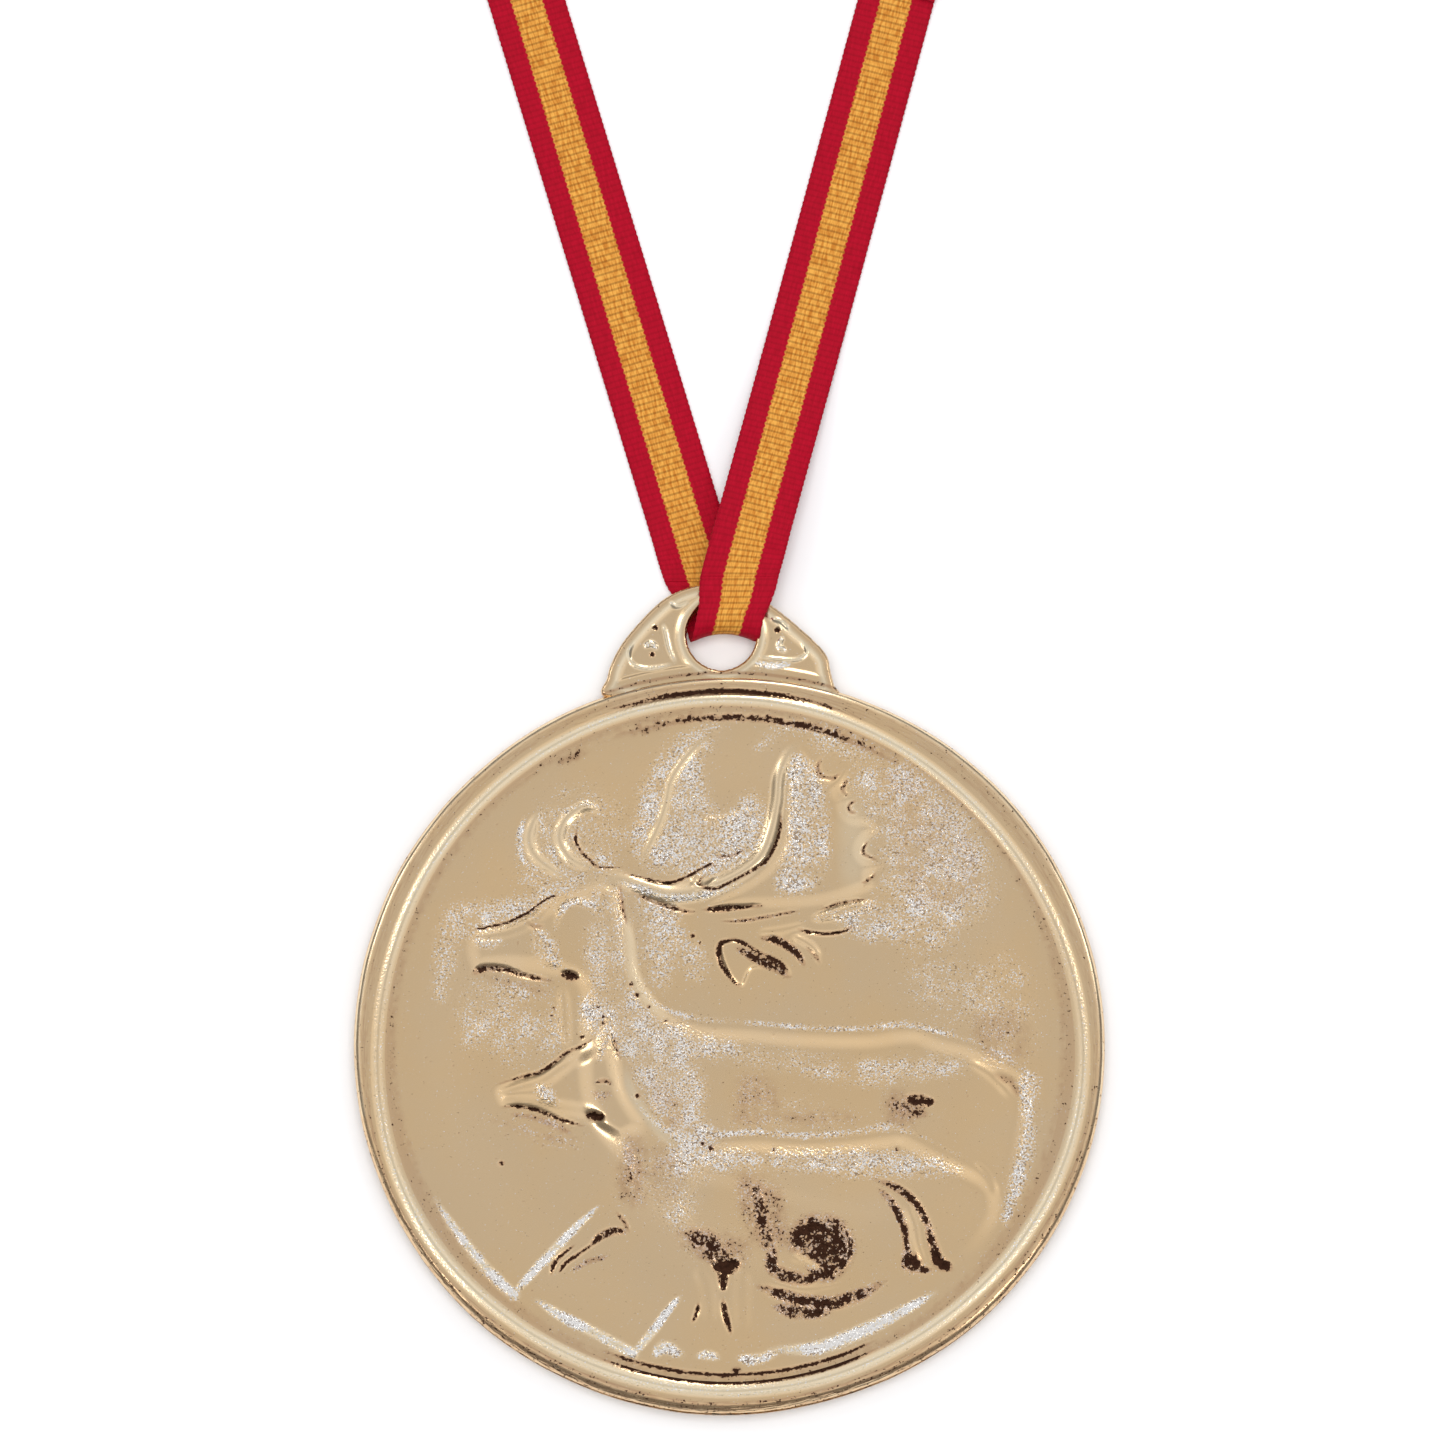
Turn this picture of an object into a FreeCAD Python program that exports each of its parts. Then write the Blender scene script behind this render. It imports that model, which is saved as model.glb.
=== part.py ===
"""Cast neck medal on a striped woven ribbon, lying on its back with the ribbon wound up.

Frame: millimetres, +Z out of the medal's face, +Y from the disc's centre towards the
ribbon lug, origin at the disc's centre on its flat back.
"""
import FreeCAD, Part
import math
import os

V = FreeCAD.Vector
X_AXIS, Y_AXIS, Z_AXIS = V(1, 0, 0), V(0, 1, 0), V(0, 0, 1)

DIMENSIONS = [
    ("disc_radius", 35.0, "outer edge of the disc"),
    ("flange_height", 2.7, "face of the flat flange outside the bead"),
    ("edge_round", 0.8, "round on the disc's outer corners"),
    ("bead_radius", 32.3, "crest of the raised bead"),
    ("bead_half_width", 0.7, "half of the bead's width"),
    ("bead_height", 3.2, "crest of the bead above the back"),
    ("field_radius", 31.3, "foot of the wall between field and bead"),
    ("field_height", 2.0, "plain field above the back"),
    ("lug_x", -0.6, "the lug and its hole stand a little left of the centre"),
    ("lug_thickness", 1.7, "lug plate"),
    ("lug_middle", 1.73, "mid-plane of the lug above the back"),
    ("lug_base_half", 10.7, "half width of the lug at the disc"),
    ("lug_shoulder_half", 10.2, "half width at the shoulders"),
    ("lug_crown_half", 3.6, "half width where the slopes meet the crown"),
    ("lug_base_y", 32.0, "inside the disc's edge"),
    ("lug_shoulder_y", 36.1, "shoulders"),
    ("lug_crown_y", 42.6, "ends of the crown"),
    ("lug_top_y", 43.23, "top of the crown"),
    ("lug_round", 0.5, "round on the lug's edges"),
    ("hole_y", 38.28, "centre of the ribbon hole"),
    ("hole_radius", 3.27, "ribbon hole"),
    ("buck_rise", 0.6, "buck above the field"),
    ("antler_rise", 0.5, "antlers above the field"),
    ("doe_rise", 0.9, "doe above the field"),
    ("ground_rise", 0.3, "ground above the field"),
    ("pad_root", 0.2, "how far a relief pad is rooted in the field"),
    ("ribbon_width", 7.0, "woven ribbon"),
    ("ribbon_thickness", 0.4, "woven ribbon"),
    ("crimped_width", 6.1, "ribbon where the hole pinches it"),
    ("fold_radius", 1.48, "middle of the ribbon where it turns round under the bar"),
    ("fold_centre_y", 39.6, "axis of that turn"),
    ("fold_x", -0.6, "ribbon in the hole"),
    ("fold_top_y", 43.69, "where the two legs leave the lug"),
    ("front_leg_x", 1.07, "front leg there"),
    ("back_leg_x", -2.77, "back leg there"),
    ("front_lean", 14.94, "front leg leans right, degrees"),
    ("back_lean", 16.54, "back leg leans left, degrees"),
    ("resting_height", 0.25, "middle of a flat ribbon on the table"),
    ("lap_start", 58.5, "sewn lap along the front leg"),
    ("lap_length", 12.0, "overlap of the two ribbon ends"),
    ("coil_inner_radius", 33.6, "inside of the coil"),
    ("coil_outer_radius", 36.6, "outside of the coil"),
    ("coil_bottom", 0.5, "coil lies on the back leg and on its tie"),
    ("front_run", 98.0, "front leg from the lug to where it meets the outermost turn"),
    ("outer_turn_radius", 36.0, "middle of the outermost turn"),
    ("lead_length", 8.5, "end of the front leg that lies along the coil"),
    ("lead_thickness", 0.6, "room for the ribbon on its edge"),
    ("joining_radius", 20.0, "curve of the back leg inside the coil"),
    ("joining_inset", 0.6, "its outermost point inside the coil's inner wall"),
    ("tie_angle", 55.0, "place of the tie round the coil, degrees"),
    ("tie_width", 3.0, "tie along the coil"),
    ("tie_thickness", 0.35, "tie"),
    ("tie_gap", 0.1, "air between tie and coil"),
    ("tie_tail", 8.0, "each twisted end"),
    ("stitch_length", 0.9, "stitch across the lap"),
    ("stitch_width", 0.3, "thread"),
    ("stitch_height", 0.12, "thread above the ribbon"),
]

doc = FreeCAD.newDocument("neck_medal")
sheet = doc.addObject("Spreadsheet::Sheet", "dims")
for row, (alias, value, note) in enumerate(DIMENSIONS, start=1):
    sheet.set(f"A{row}", alias)
    sheet.set(f"B{row}", str(value))
    sheet.set(f"C{row}", note)
    sheet.setAlias(f"B{row}", alias)
doc.recompute()


def size(alias):
    """A driving dimension, as the sheet holds it."""
    return float(sheet.get(alias))


def make(kind, label, place=None, **bound):
    """Add one object, with the named properties bound to expressions of the sheet."""
    item = doc.addObject(kind, label)
    item.Label = label
    for name, expression in bound.items():
        item.setExpression(name, expression)
    if place is not None:
        item.Placement = place
    return item


def at(x, y, z, turn=0.0):
    """A place, turned about the vertical."""
    return FreeCAD.Placement(V(x, y, z), FreeCAD.Rotation(Z_AXIS, turn))


def cut(label, base, tool):
    item = make("Part::Cut", label)
    item.Base, item.Tool = base, tool
    return item


def fuse(label, *shapes):
    item = make("Part::MultiFuse", label)
    item.Shapes = list(shapes)
    return item


def closed_sketch(label, corners):
    """A closed outline through the given corners, in straight lines."""
    sketch = make("Sketcher::SketchObject", label)
    for start, end in zip(corners, corners[1:] + corners[:1]):
        sketch.addGeometry(Part.LineSegment(V(*start, 0), V(*end, 0)), False)
    return sketch


# ---------------------------------------------------------------- the casting
def disc():
    """The round plate, turned from its half section: flange, raised bead, sunk field."""
    radius, rounding = size("disc_radius"), size("edge_round")
    flange, field = size("flange_height"), size("field_height")
    crest, half = size("bead_radius"), size("bead_half_width")
    corner = rounding * (1 - math.sqrt(0.5))
    section_line = make("Sketcher::SketchObject", "disc_section")
    lower = V(radius - rounding, 0, 0), V(radius, rounding, 0)
    upper = V(radius, flange - rounding, 0), V(radius - rounding, flange, 0)
    outer_foot, inner_foot = V(crest + half, flange, 0), V(crest - half, flange, 0)
    for curve in (
        Part.LineSegment(V(0, 0, 0), lower[0]),
        Part.Arc(lower[0], V(radius - corner, corner, 0), lower[1]),
        Part.LineSegment(lower[1], upper[0]),
        Part.Arc(upper[0], V(radius - corner, flange - corner, 0), upper[1]),
        Part.LineSegment(upper[1], outer_foot),
        Part.Arc(outer_foot, V(crest, size("bead_height"), 0), inner_foot),
        Part.LineSegment(inner_foot, V(size("field_radius"), field, 0)),
        Part.LineSegment(V(size("field_radius"), field, 0), V(0, field, 0)),
        Part.LineSegment(V(0, field, 0), V(0, 0, 0)),
    ):
        section_line.addGeometry(curve, False)
    section_line.Placement = FreeCAD.Placement(V(), FreeCAD.Rotation(X_AXIS, 90))
    turned = make("Part::Revolution", "disc_turned")
    turned.Source, turned.Axis, turned.Solid = section_line, Z_AXIS, True
    turned.Angle = 360
    return turned


def lug():
    """The ribbon lug: a plate with sloping shoulders, a round crown and a hole."""
    half_base, half_shoulder = size("lug_base_half"), size("lug_shoulder_half")
    half_crown, crown_y = size("lug_crown_half"), size("lug_crown_y")
    left_crown, right_crown = V(-half_crown, crown_y, 0), V(half_crown, crown_y, 0)
    outline = make("Sketcher::SketchObject", "lug_outline")
    corners = [
        right_crown,
        V(half_shoulder, size("lug_shoulder_y"), 0),
        V(half_base, size("lug_base_y"), 0),
        V(-half_base, size("lug_base_y"), 0),
        V(-half_shoulder, size("lug_shoulder_y"), 0),
        left_crown,
    ]
    for start, end in zip(corners, corners[1:]):
        outline.addGeometry(Part.LineSegment(start, end), False)
    crown = Part.Arc(left_crown, V(0, size("lug_top_y"), 0), right_crown)
    outline.addGeometry(crown, False)
    bottom = size("lug_middle") - size("lug_thickness") / 2
    outline.Placement = at(size("lug_x"), 0, bottom)
    plate = make("Part::Extrusion", "lug_plate", LengthFwd="dims.lug_thickness")
    plate.Base, plate.Dir, plate.Solid = outline, Z_AXIS, True
    hole = make(
        "Part::Cylinder", "lug_hole", at(size("lug_x"), size("hole_y"), 0),
        Radius="dims.hole_radius", Height="2 * dims.flange_height",
    )
    pierced = cut("lug_pierced", plate, hole)
    doc.recompute()
    rounded = make("Part::Fillet", "lug_rounded")
    rounded.Base = pierced
    radius = size("lug_round")
    above_disc = size("disc_radius") + 1.0
    rounded.Edges = [
        (number, radius, radius)
        for number, edge in enumerate(pierced.Shape.Edges, start=1)
        if edge.BoundBox.YMin > above_disc - 2.0 and edge.BoundBox.ZLength < 0.01
        and edge.BoundBox.YMax > above_disc + 2.0
    ]
    return rounded


def relief(label, rise, corners):
    """A figure as a plain raised pad on the field."""
    outline = closed_sketch(label + "_outline", corners)
    outline.Placement = at(0, 0, size("field_height") - size("pad_root"))
    pad = make(
        "Part::Extrusion", label + "_pad", LengthFwd=f"dims.{rise} + dims.pad_root"
    )
    pad.Base, pad.Dir, pad.Solid = outline, Z_AXIS, True
    return pad


BUCK = [
    (-24.4, 10.6), (-18.2, 12.6), (-12.2, 16.2), (-9.4, 14.0), (-9.0, 7.8), (-5.2, 1.8),
    (1.2, 1.2), (18.0, 1.4), (23.0, -0.2), (28.0, -3.4), (28.4, -9.0), (24.0, -16.0),
    (0.0, -12.0), (-13.5, -10.0), (-14.5, 1.0), (-15.6, 5.6), (-23.0, 6.6),
]
ANTLER = [
    (-12.4, 14.6), (-13.8, 17.0), (-15.0, 21.2), (-12.4, 19.8), (-11.4, 17.2),
    (-6.0, 15.6), (-2.4, 15.9), (4.0, 17.8), (4.8, 23.0), (7.0, 28.0), (11.4, 25.6),
    (13.4, 20.4), (14.2, 15.8), (12.4, 12.8), (7.4, 7.4), (2.0, 6.4), (0.8, 10.6),
    (-9.8, 13.7),
]
DOE = [
    (-21.4, -4.0), (-17.0, -2.6), (-13.0, -0.2), (-10.6, 2.2), (-9.4, -1.4),
    (-6.0, -8.3), (8.8, -8.6), (15.4, -8.5), (20.8, -10.2), (24.8, -13.0),
    (24.2, -18.0), (20.4, -21.0), (12.0, -20.0), (4.0, -23.0), (1.0, -28.2),
    (-2.8, -24.0), (-9.4, -16.4), (-12.0, -15.0), (-12.8, -7.6), (-20.8, -6.4),
]
GROUND = [
    (-28.0, -12.0), (-19.6, -23.0), (-8.4, -28.6), (4.8, -27.8), (19.4, -22.8),
    (18.0, -24.6), (8.0, -29.6), (-8.0, -29.6), (-20.0, -23.6), (-28.6, -11.6),
]


def casting():
    """Disc, bead, lug and relief are one piece of plated metal."""
    return fuse(
        "medal_casting", disc(), lug(),
        relief("buck", "buck_rise", BUCK),
        relief("antler", "antler_rise", ANTLER),
        relief("doe", "doe_rise", DOE),
        relief("ground", "ground_rise", GROUND),
    )


# ---------------------------------------------------------------- the ribbon
def section(middle, across, up, width):
    """The ribbon's section there, as a closed wire."""
    half_width, half_thickness = width / 2, size("ribbon_thickness") / 2
    corners = [
        middle + across * (half_width * side) + up * (half_thickness * face)
        for side, face in ((-1, -1), (1, -1), (1, 1), (-1, 1), (-1, -1))
    ]
    return Part.makePolygon(corners)


def ribbon_solid(label, sections):
    """A solid through the ribbon's sections, straight from one to the next."""
    piece = make("Part::Feature", label)
    piece.Shape = Part.makeLoft(sections, True, True)
    piece.Placement = FreeCAD.Placement()
    return piece


def heading(lean):
    """Direction of a leg in plan, leaning right of +Y by that many degrees."""
    return V(math.sin(math.radians(lean)), math.cos(math.radians(lean)), 0)


FRONT_WAY = heading(size("front_lean"))
BACK_WAY = heading(-size("back_lean"))
FRONT_HEIGHT = size("lug_middle") + size("fold_radius")
BACK_HEIGHT = size("lug_middle") - size("fold_radius")
FRONT_START = V(size("front_leg_x"), size("fold_top_y"), FRONT_HEIGHT)
BACK_START = V(size("back_leg_x"), size("fold_top_y"), BACK_HEIGHT)


def skewed_width(way):
    """Width of the ribbon along X where it is cut level with X."""
    return size("ribbon_width") / way.y


def fold():
    """The ribbon where it passes down in front of the lug, through and up behind."""
    turn_steps = 8
    radius, x = size("fold_radius"), size("fold_x")
    axis_y, axis_z = size("fold_centre_y"), size("lug_middle")
    sections = [section(FRONT_START, X_AXIS, Z_AXIS, skewed_width(FRONT_WAY))]
    for step in range(turn_steps + 1):
        turn = math.pi * step / turn_steps
        outward = V(0, -math.sin(turn), math.cos(turn))
        middle = V(x, axis_y, axis_z) + outward * radius
        sections.append(section(middle, X_AXIS, outward, size("crimped_width")))
    sections.append(section(BACK_START, X_AXIS, Z_AXIS * -1, skewed_width(BACK_WAY)))
    return ribbon_solid("ribbon_fold", sections)


def leg(label, start, way, flat_stations, twist_from, twist_to):
    """One leg of the ribbon: flat from the lug down to the table, then turned on edge.

    flat_stations are (distance along the leg, height of the ribbon's middle).
    """
    twist_steps = 8
    sideways = V(way.y, -way.x, 0)
    flat = [V(0, 0, height) + V(start.x, start.y, 0) + way * run
            for run, height in flat_stations]
    sections = [section(flat[0], X_AXIS, Z_AXIS, skewed_width(way))]
    sections += [section(p, sideways, Z_AXIS, size("ribbon_width")) for p in flat[1:]]
    length = sum((b - a).Length for a, b in zip(flat, flat[1:]))
    middle = flat[-1]
    for step in range(1, twist_steps + 1):
        share = step / twist_steps
        turn = math.pi / 2 * share
        run = twist_from + (twist_to - twist_from) * share
        lift = size("ribbon_width") / 2 * math.sin(turn)
        height = size("resting_height") + lift + (size("coil_bottom") - 0.25) * share
        after = V(start.x, start.y, height) + way * run
        across = sideways * math.cos(turn) + Z_AXIS * math.sin(turn)
        up = Z_AXIS * math.cos(turn) - sideways * math.sin(turn)
        sections.append(section(after, across, up, size("ribbon_width")))
        length += (after - middle).Length
        middle = after
    piece = ribbon_solid(label, sections)
    area = size("ribbon_width") * size("ribbon_thickness")
    print(f"{label}: {length:.1f} mm, volume {piece.Shape.Volume:.1f} mm3,",
          f"section times length {area * length:.1f} mm3")
    return piece, length


def coil_centre():
    """The coil lies beside the front leg, which runs into its outermost turn."""
    meeting = V(FRONT_START.x, FRONT_START.y, 0) + FRONT_WAY * size("front_run")
    return meeting - V(FRONT_WAY.y, -FRONT_WAY.x, 0) * size("outer_turn_radius")


def joining_curve(centre):
    """Inside the coil: where the back leg starts to curve, the curve's axis and angles."""
    radius = size("joining_radius")
    reach = size("coil_inner_radius") + size("joining_inset") - radius
    start = V(BACK_START.x, BACK_START.y, 0)
    right = V(BACK_WAY.y, -BACK_WAY.x, 0)
    ahead, aside = (centre - start).dot(BACK_WAY), (centre - start).dot(right)
    run = ahead + math.sqrt(reach ** 2 - (radius - aside) ** 2)
    axis = start + BACK_WAY * run + right * radius
    outward = axis - centre
    meets = math.degrees(math.atan2(outward.y, outward.x))
    begins = math.degrees(math.atan2(-right.y, -right.x)) % 360
    return run, axis, meets, begins


def coil(centre, axis, meets, begins):
    """The outer shape of the wound ribbon, with the ends that lie along its turns."""
    bottom = size("coil_bottom")

    def drum(label, x, y, **bound):
        return make("Part::Cylinder", label, at(x, y, bottom),
                    Height="dims.ribbon_width", **bound)

    ring = cut(
        "coil_ring",
        drum("coil_outside", centre.x, centre.y, Radius="dims.coil_outer_radius"),
        drum("coil_inside", centre.x, centre.y, Radius="dims.coil_inner_radius"),
    )
    joining = cut(
        "joining_band",
        drum("joining_outside", axis.x, axis.y,
             Radius="dims.joining_radius + dims.lead_thickness / 2"),
        drum("joining_inside", axis.x, axis.y,
             Radius="dims.joining_radius - dims.lead_thickness / 2"),
    )
    for drum_object in (joining.Base, joining.Tool):
        drum_object.Angle = begins - meets
        drum_object.Placement = at(axis.x, axis.y, bottom, meets)
    lead = make(
        "Part::Box", "coil_lead",
        Length="dims.lead_length", Width="dims.lead_thickness", Height="dims.ribbon_width",
    )
    right = V(FRONT_WAY.y, -FRONT_WAY.x, 0)
    corner = FRONT_START + FRONT_WAY * (size("front_run") - size("lead_length"))
    corner += right * (size("lead_thickness") / 2)
    lead.Placement = at(corner.x, corner.y, bottom, 90 - size("front_lean"))
    return fuse("ribbon_coil", ring, joining, lead)


def lap():
    """The ribbon's other end, laid over the front leg and sewn down."""
    piece = make(
        "Part::Box", "ribbon_lap",
        Length="dims.ribbon_width", Width="dims.lap_length",
        Height="dims.ribbon_thickness",
    )
    corner = FRONT_START + FRONT_WAY * size("lap_start")
    corner -= V(FRONT_WAY.y, -FRONT_WAY.x, 0) * (size("ribbon_width") / 2)
    top = size("resting_height") + size("ribbon_thickness") / 2
    piece.Placement = at(corner.x, corner.y, top, -size("front_lean"))
    return piece


def stitches():
    """Two rows of thread across the lap, each stitch a small bar on its top."""
    rows, in_row = 2, 5
    top = size("resting_height") + 1.5 * size("ribbon_thickness")
    pitch = size("ribbon_width") / in_row
    right = V(FRONT_WAY.y, -FRONT_WAY.x, 0)
    margin = 1.5
    bars = []
    for row in range(rows):
        along = size("lap_start") + margin
        along += row * (size("lap_length") - 2 * margin)
        for number in range(in_row):
            aside = (number - (in_row - 1) / 2) * pitch - size("stitch_length") / 2
            corner = FRONT_START + FRONT_WAY * along + right * aside
            bar = make(
                "Part::Box", f"stitch_{row}_{number}",
                Length="dims.stitch_length", Width="dims.stitch_width",
                Height="dims.stitch_height",
            )
            bar.Placement = at(corner.x, corner.y, top, -size("front_lean"))
            bars.append(bar)
    group = make("Part::Compound", "seam_thread")
    group.Links = bars
    return group


def tie(centre):
    """A flat tie round the coil's turns, with its two ends twisted outside."""
    angle = size("tie_angle")
    frame = FreeCAD.Placement(
        V(centre.x, centre.y, 0), FreeCAD.Rotation(Z_AXIS, angle)
    )
    inner = size("coil_inner_radius") - size("tie_gap")
    outer = size("coil_outer_radius") + size("tie_gap")
    bottom = size("coil_bottom") - size("tie_gap")
    thickness, width = size("tie_thickness"), size("tie_width")

    def block(label, corner, **bound):
        place = frame.multiply(FreeCAD.Placement(corner, FreeCAD.Rotation()))
        return make("Part::Box", label, place, Width="dims.tie_width", **bound)

    depth = "(dims.coil_outer_radius - dims.coil_inner_radius + 2 * dims.tie_gap"
    height = "(dims.ribbon_width + 2 * dims.tie_gap"
    outside = block(
        "tie_outside", V(inner - thickness, -width / 2, bottom - thickness),
        Length=depth + " + 2 * dims.tie_thickness)",
        Height=height + " + 2 * dims.tie_thickness)",
    )
    inside = block(
        "tie_inside", V(inner, -width / 2, bottom), Length=depth + ")", Height=height + ")"
    )
    tail = block(
        "tie_tail", V(outer + thickness, -width / 2, size("resting_height") + 3.0),
        Length="dims.tie_tail", Height="2 * dims.tie_thickness",
    )
    return fuse("coil_tie", cut("tie_band", outside, inside), tail)


# ---------------------------------------------------------------- assembly
medal = casting()
ribbon_fold = fold()
centre = coil_centre()
joining_run, joining_axis, joining_meets, joining_begins = joining_curve(centre)
front_leg, front_length = leg(
    "ribbon_front_leg", FRONT_START, FRONT_WAY,
    [(0, FRONT_HEIGHT), (4, FRONT_HEIGHT), (24, size("resting_height")),
     (size("lap_start") + size("lap_length") + 0.5, size("resting_height"))],
    size("lap_start") + size("lap_length") + 0.5,
    size("front_run") - size("lead_length"),
)
back_leg, back_length = leg(
    "ribbon_back_leg", BACK_START, BACK_WAY,
    [(0, BACK_HEIGHT), (40, size("resting_height")), (79, size("resting_height"))],
    79, joining_run,
)
PARTS = [
    medal, ribbon_fold, front_leg, back_leg,
    coil(centre, joining_axis, joining_meets, joining_begins),
    lap(), stitches(), tie(centre),
]
doc.recompute()
print(f"coil centre {centre.x:.2f}, {centre.y:.2f}; joining axis {joining_axis.x:.2f},",
      f"{joining_axis.y:.2f}; angles {joining_begins:.2f} to {joining_meets:.2f}")

for item in doc.Objects:
    if {"Invalid", "Error"} & set(item.State):
        raise SystemExit(f"{item.Label} did not compute: {item.State}")
for item in PARTS:
    if item.Shape.isNull() or not item.Shape.isValid():
        raise SystemExit(f"{item.Label} has no valid shape")
os.makedirs("parts", exist_ok=True)
for item in PARTS:
    item.Shape.exportStep(f"parts/{item.Label}.step")
    box = item.Shape.BoundBox
    print(f"{item.Label}: {len(item.Shape.Solids)} solids, {item.Shape.Volume:.1f} mm3,",
          f"x {box.XMin:.2f} {box.XMax:.2f} y {box.YMin:.2f} {box.YMax:.2f}",
          f"z {box.ZMin:.2f} {box.ZMax:.2f}")
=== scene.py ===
"""Looks of the cast neck medal: relief face, rim, lug and back, woven ribbon, seam and tie."""

import math

import bpy
import numpy as np
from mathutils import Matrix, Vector


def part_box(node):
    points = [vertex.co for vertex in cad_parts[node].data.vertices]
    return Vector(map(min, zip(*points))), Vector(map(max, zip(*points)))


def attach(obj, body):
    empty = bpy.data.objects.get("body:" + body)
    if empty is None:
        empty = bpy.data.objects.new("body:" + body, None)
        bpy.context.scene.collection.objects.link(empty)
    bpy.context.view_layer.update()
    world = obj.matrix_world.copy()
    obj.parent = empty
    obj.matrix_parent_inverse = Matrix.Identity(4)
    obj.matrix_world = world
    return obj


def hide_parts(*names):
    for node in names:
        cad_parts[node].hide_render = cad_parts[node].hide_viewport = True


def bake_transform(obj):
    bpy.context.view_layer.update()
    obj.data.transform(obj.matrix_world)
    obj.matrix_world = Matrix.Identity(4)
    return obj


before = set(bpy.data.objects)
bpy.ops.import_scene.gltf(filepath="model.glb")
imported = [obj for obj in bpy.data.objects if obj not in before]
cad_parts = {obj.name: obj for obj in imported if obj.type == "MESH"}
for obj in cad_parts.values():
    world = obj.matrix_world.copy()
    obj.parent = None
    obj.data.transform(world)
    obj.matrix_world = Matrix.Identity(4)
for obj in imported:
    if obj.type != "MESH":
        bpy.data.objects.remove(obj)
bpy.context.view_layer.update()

MM = 0.001
UP = np.array((0.0, 0.0, 1.0))
SIDEWAYS = np.array((1.0, 0.0, 0.0))


# ---------------------------------------------------------------- camera
CAMERA_LEAN = 8.0


def add_camera():
    """Almost straight above the face, leaning a little towards the disc's lower edge."""
    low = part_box("medal_casting")[0]
    target = Vector((-0.74 * MM, low.y + 65.4 * MM, 1.5 * MM))
    lean = math.radians(CAMERA_LEAN)
    distance, seen_width, sensor = 0.70, 134.6 * MM, 36.0
    camera = bpy.data.objects.new("camera", bpy.data.cameras.new("camera"))
    camera.data.sensor_width = sensor
    camera.data.lens = sensor * distance / seen_width
    camera.data.clip_start = 0.01
    camera.location = target + distance * Vector((0, -math.sin(lean), math.cos(lean)))
    camera.rotation_euler = (lean, 0, 0)
    bpy.context.scene.collection.objects.link(camera)
    bpy.context.scene.camera = camera


add_camera()


# ---------------------------------------------------------------- the ribbon's route
RIBBON_WIDTH = 7.0
RIBBON_THICKNESS = 0.4
RESTING = 0.25
# The leg lies flat up to here, and starts square to the bar before it takes up its lean.
FLAT_BEFORE = 51.0
SQUARE_RUN = 5.0
EDGE_HEIGHT = 4.0
FRONT_START, FRONT_LEAN = (1.07, 43.69, 3.21), 14.94
BACK_START, BACK_LEAN = (-2.25, 43.69, 0.25), -16.80
COIL_CENTRE = (-8.45, 147.66)
COIL_START, COIL_SWEEP, COIL_STEP = -14.94, 858.5, 24
COIL_OUTER, COIL_INNER = 36.0, 34.2
JOINING_AXIS, JOINING_RADIUS = (-16.30, 159.49), 20.0
JOINING_BEGINS, JOINING_MEETS = 196.54, 123.55
FRONT_STATIONS = [
    (0, 3.21), (4, 3.21), (14, 1.9), (24, 0.25), (40, 0.25), (56, 0.25), (71, 0.25),
    (75.6, 1.1), (80.3, 2.4), (85, 3.5), (89.5, 4.0), (94, 4.0),
]
BACK_STATIONS = [
    (0, 0.25), (14, 0.25), (28, 0.25), (44, 0.25), (60, 0.25), (79, 0.25),
    (86, 1.1), (93, 2.4), (101, 3.5), (108, 4.0),
]


def leg_points(start, lean, stations):
    """Points along a straight leg, at the given distances and heights."""
    way = (math.sin(math.radians(lean)), math.cos(math.radians(lean)))
    return [(start[0] + way[0] * run, start[1] + way[1] * run, z) for run, z in stations]


def turn_points(centre, radius_at, begin, end, count):
    """Points round a centre, evenly spaced, at the height of the wound ribbon."""
    points = []
    for angle in np.linspace(begin, end, count):
        turn, radius = math.radians(angle), radius_at(angle)
        points.append((centre[0] + radius * math.cos(turn),
                       centre[1] + radius * math.sin(turn), EDGE_HEIGHT))
    return points


def coil_radius(angle):
    """Radius of the wound ribbon, from the outermost turn to the innermost."""
    share = (angle - COIL_START) / COIL_SWEEP
    slack = 0.09 * math.sin(math.radians(angle) * 1.7) + 0.06 * math.sin(angle * 0.041)
    return COIL_OUTER + (COIL_INNER - COIL_OUTER) * share + slack * math.sin(math.pi * share)


def route(name, points):
    """The smooth line of a cord: a NURBS spline with these points as control points."""
    curve = bpy.data.curves.new(name, "CURVE")
    curve.dimensions = "3D"
    spline = curve.splines.new("NURBS")
    spline.points.add(len(points) - 1)
    for slot, point in zip(spline.points, points):
        slot.co = (*[c * MM for c in point], 1)
    spline.order_u = 3
    spline.use_endpoint_u = True
    spline.resolution_u = 24
    holder = bpy.data.objects.new(name, curve)
    bpy.context.scene.collection.objects.link(holder)
    bpy.context.view_layer.update()
    mesh = bpy.data.meshes.new_from_object(holder)
    line = np.array([v.co for v in mesh.vertices]) / MM
    bpy.data.objects.remove(holder)
    bpy.data.meshes.remove(mesh)
    return line


def evenly(line, step):
    """The same line with its points a fixed distance apart, and the distance at each."""
    run = np.concatenate([[0], np.cumsum(np.linalg.norm(np.diff(line, axis=0), axis=1))])
    marks = np.linspace(0, run[-1], int(round(run[-1] / step)) + 1)
    return np.stack([np.interp(marks, run, line[:, k]) for k in range(3)], axis=1), marks


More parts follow.
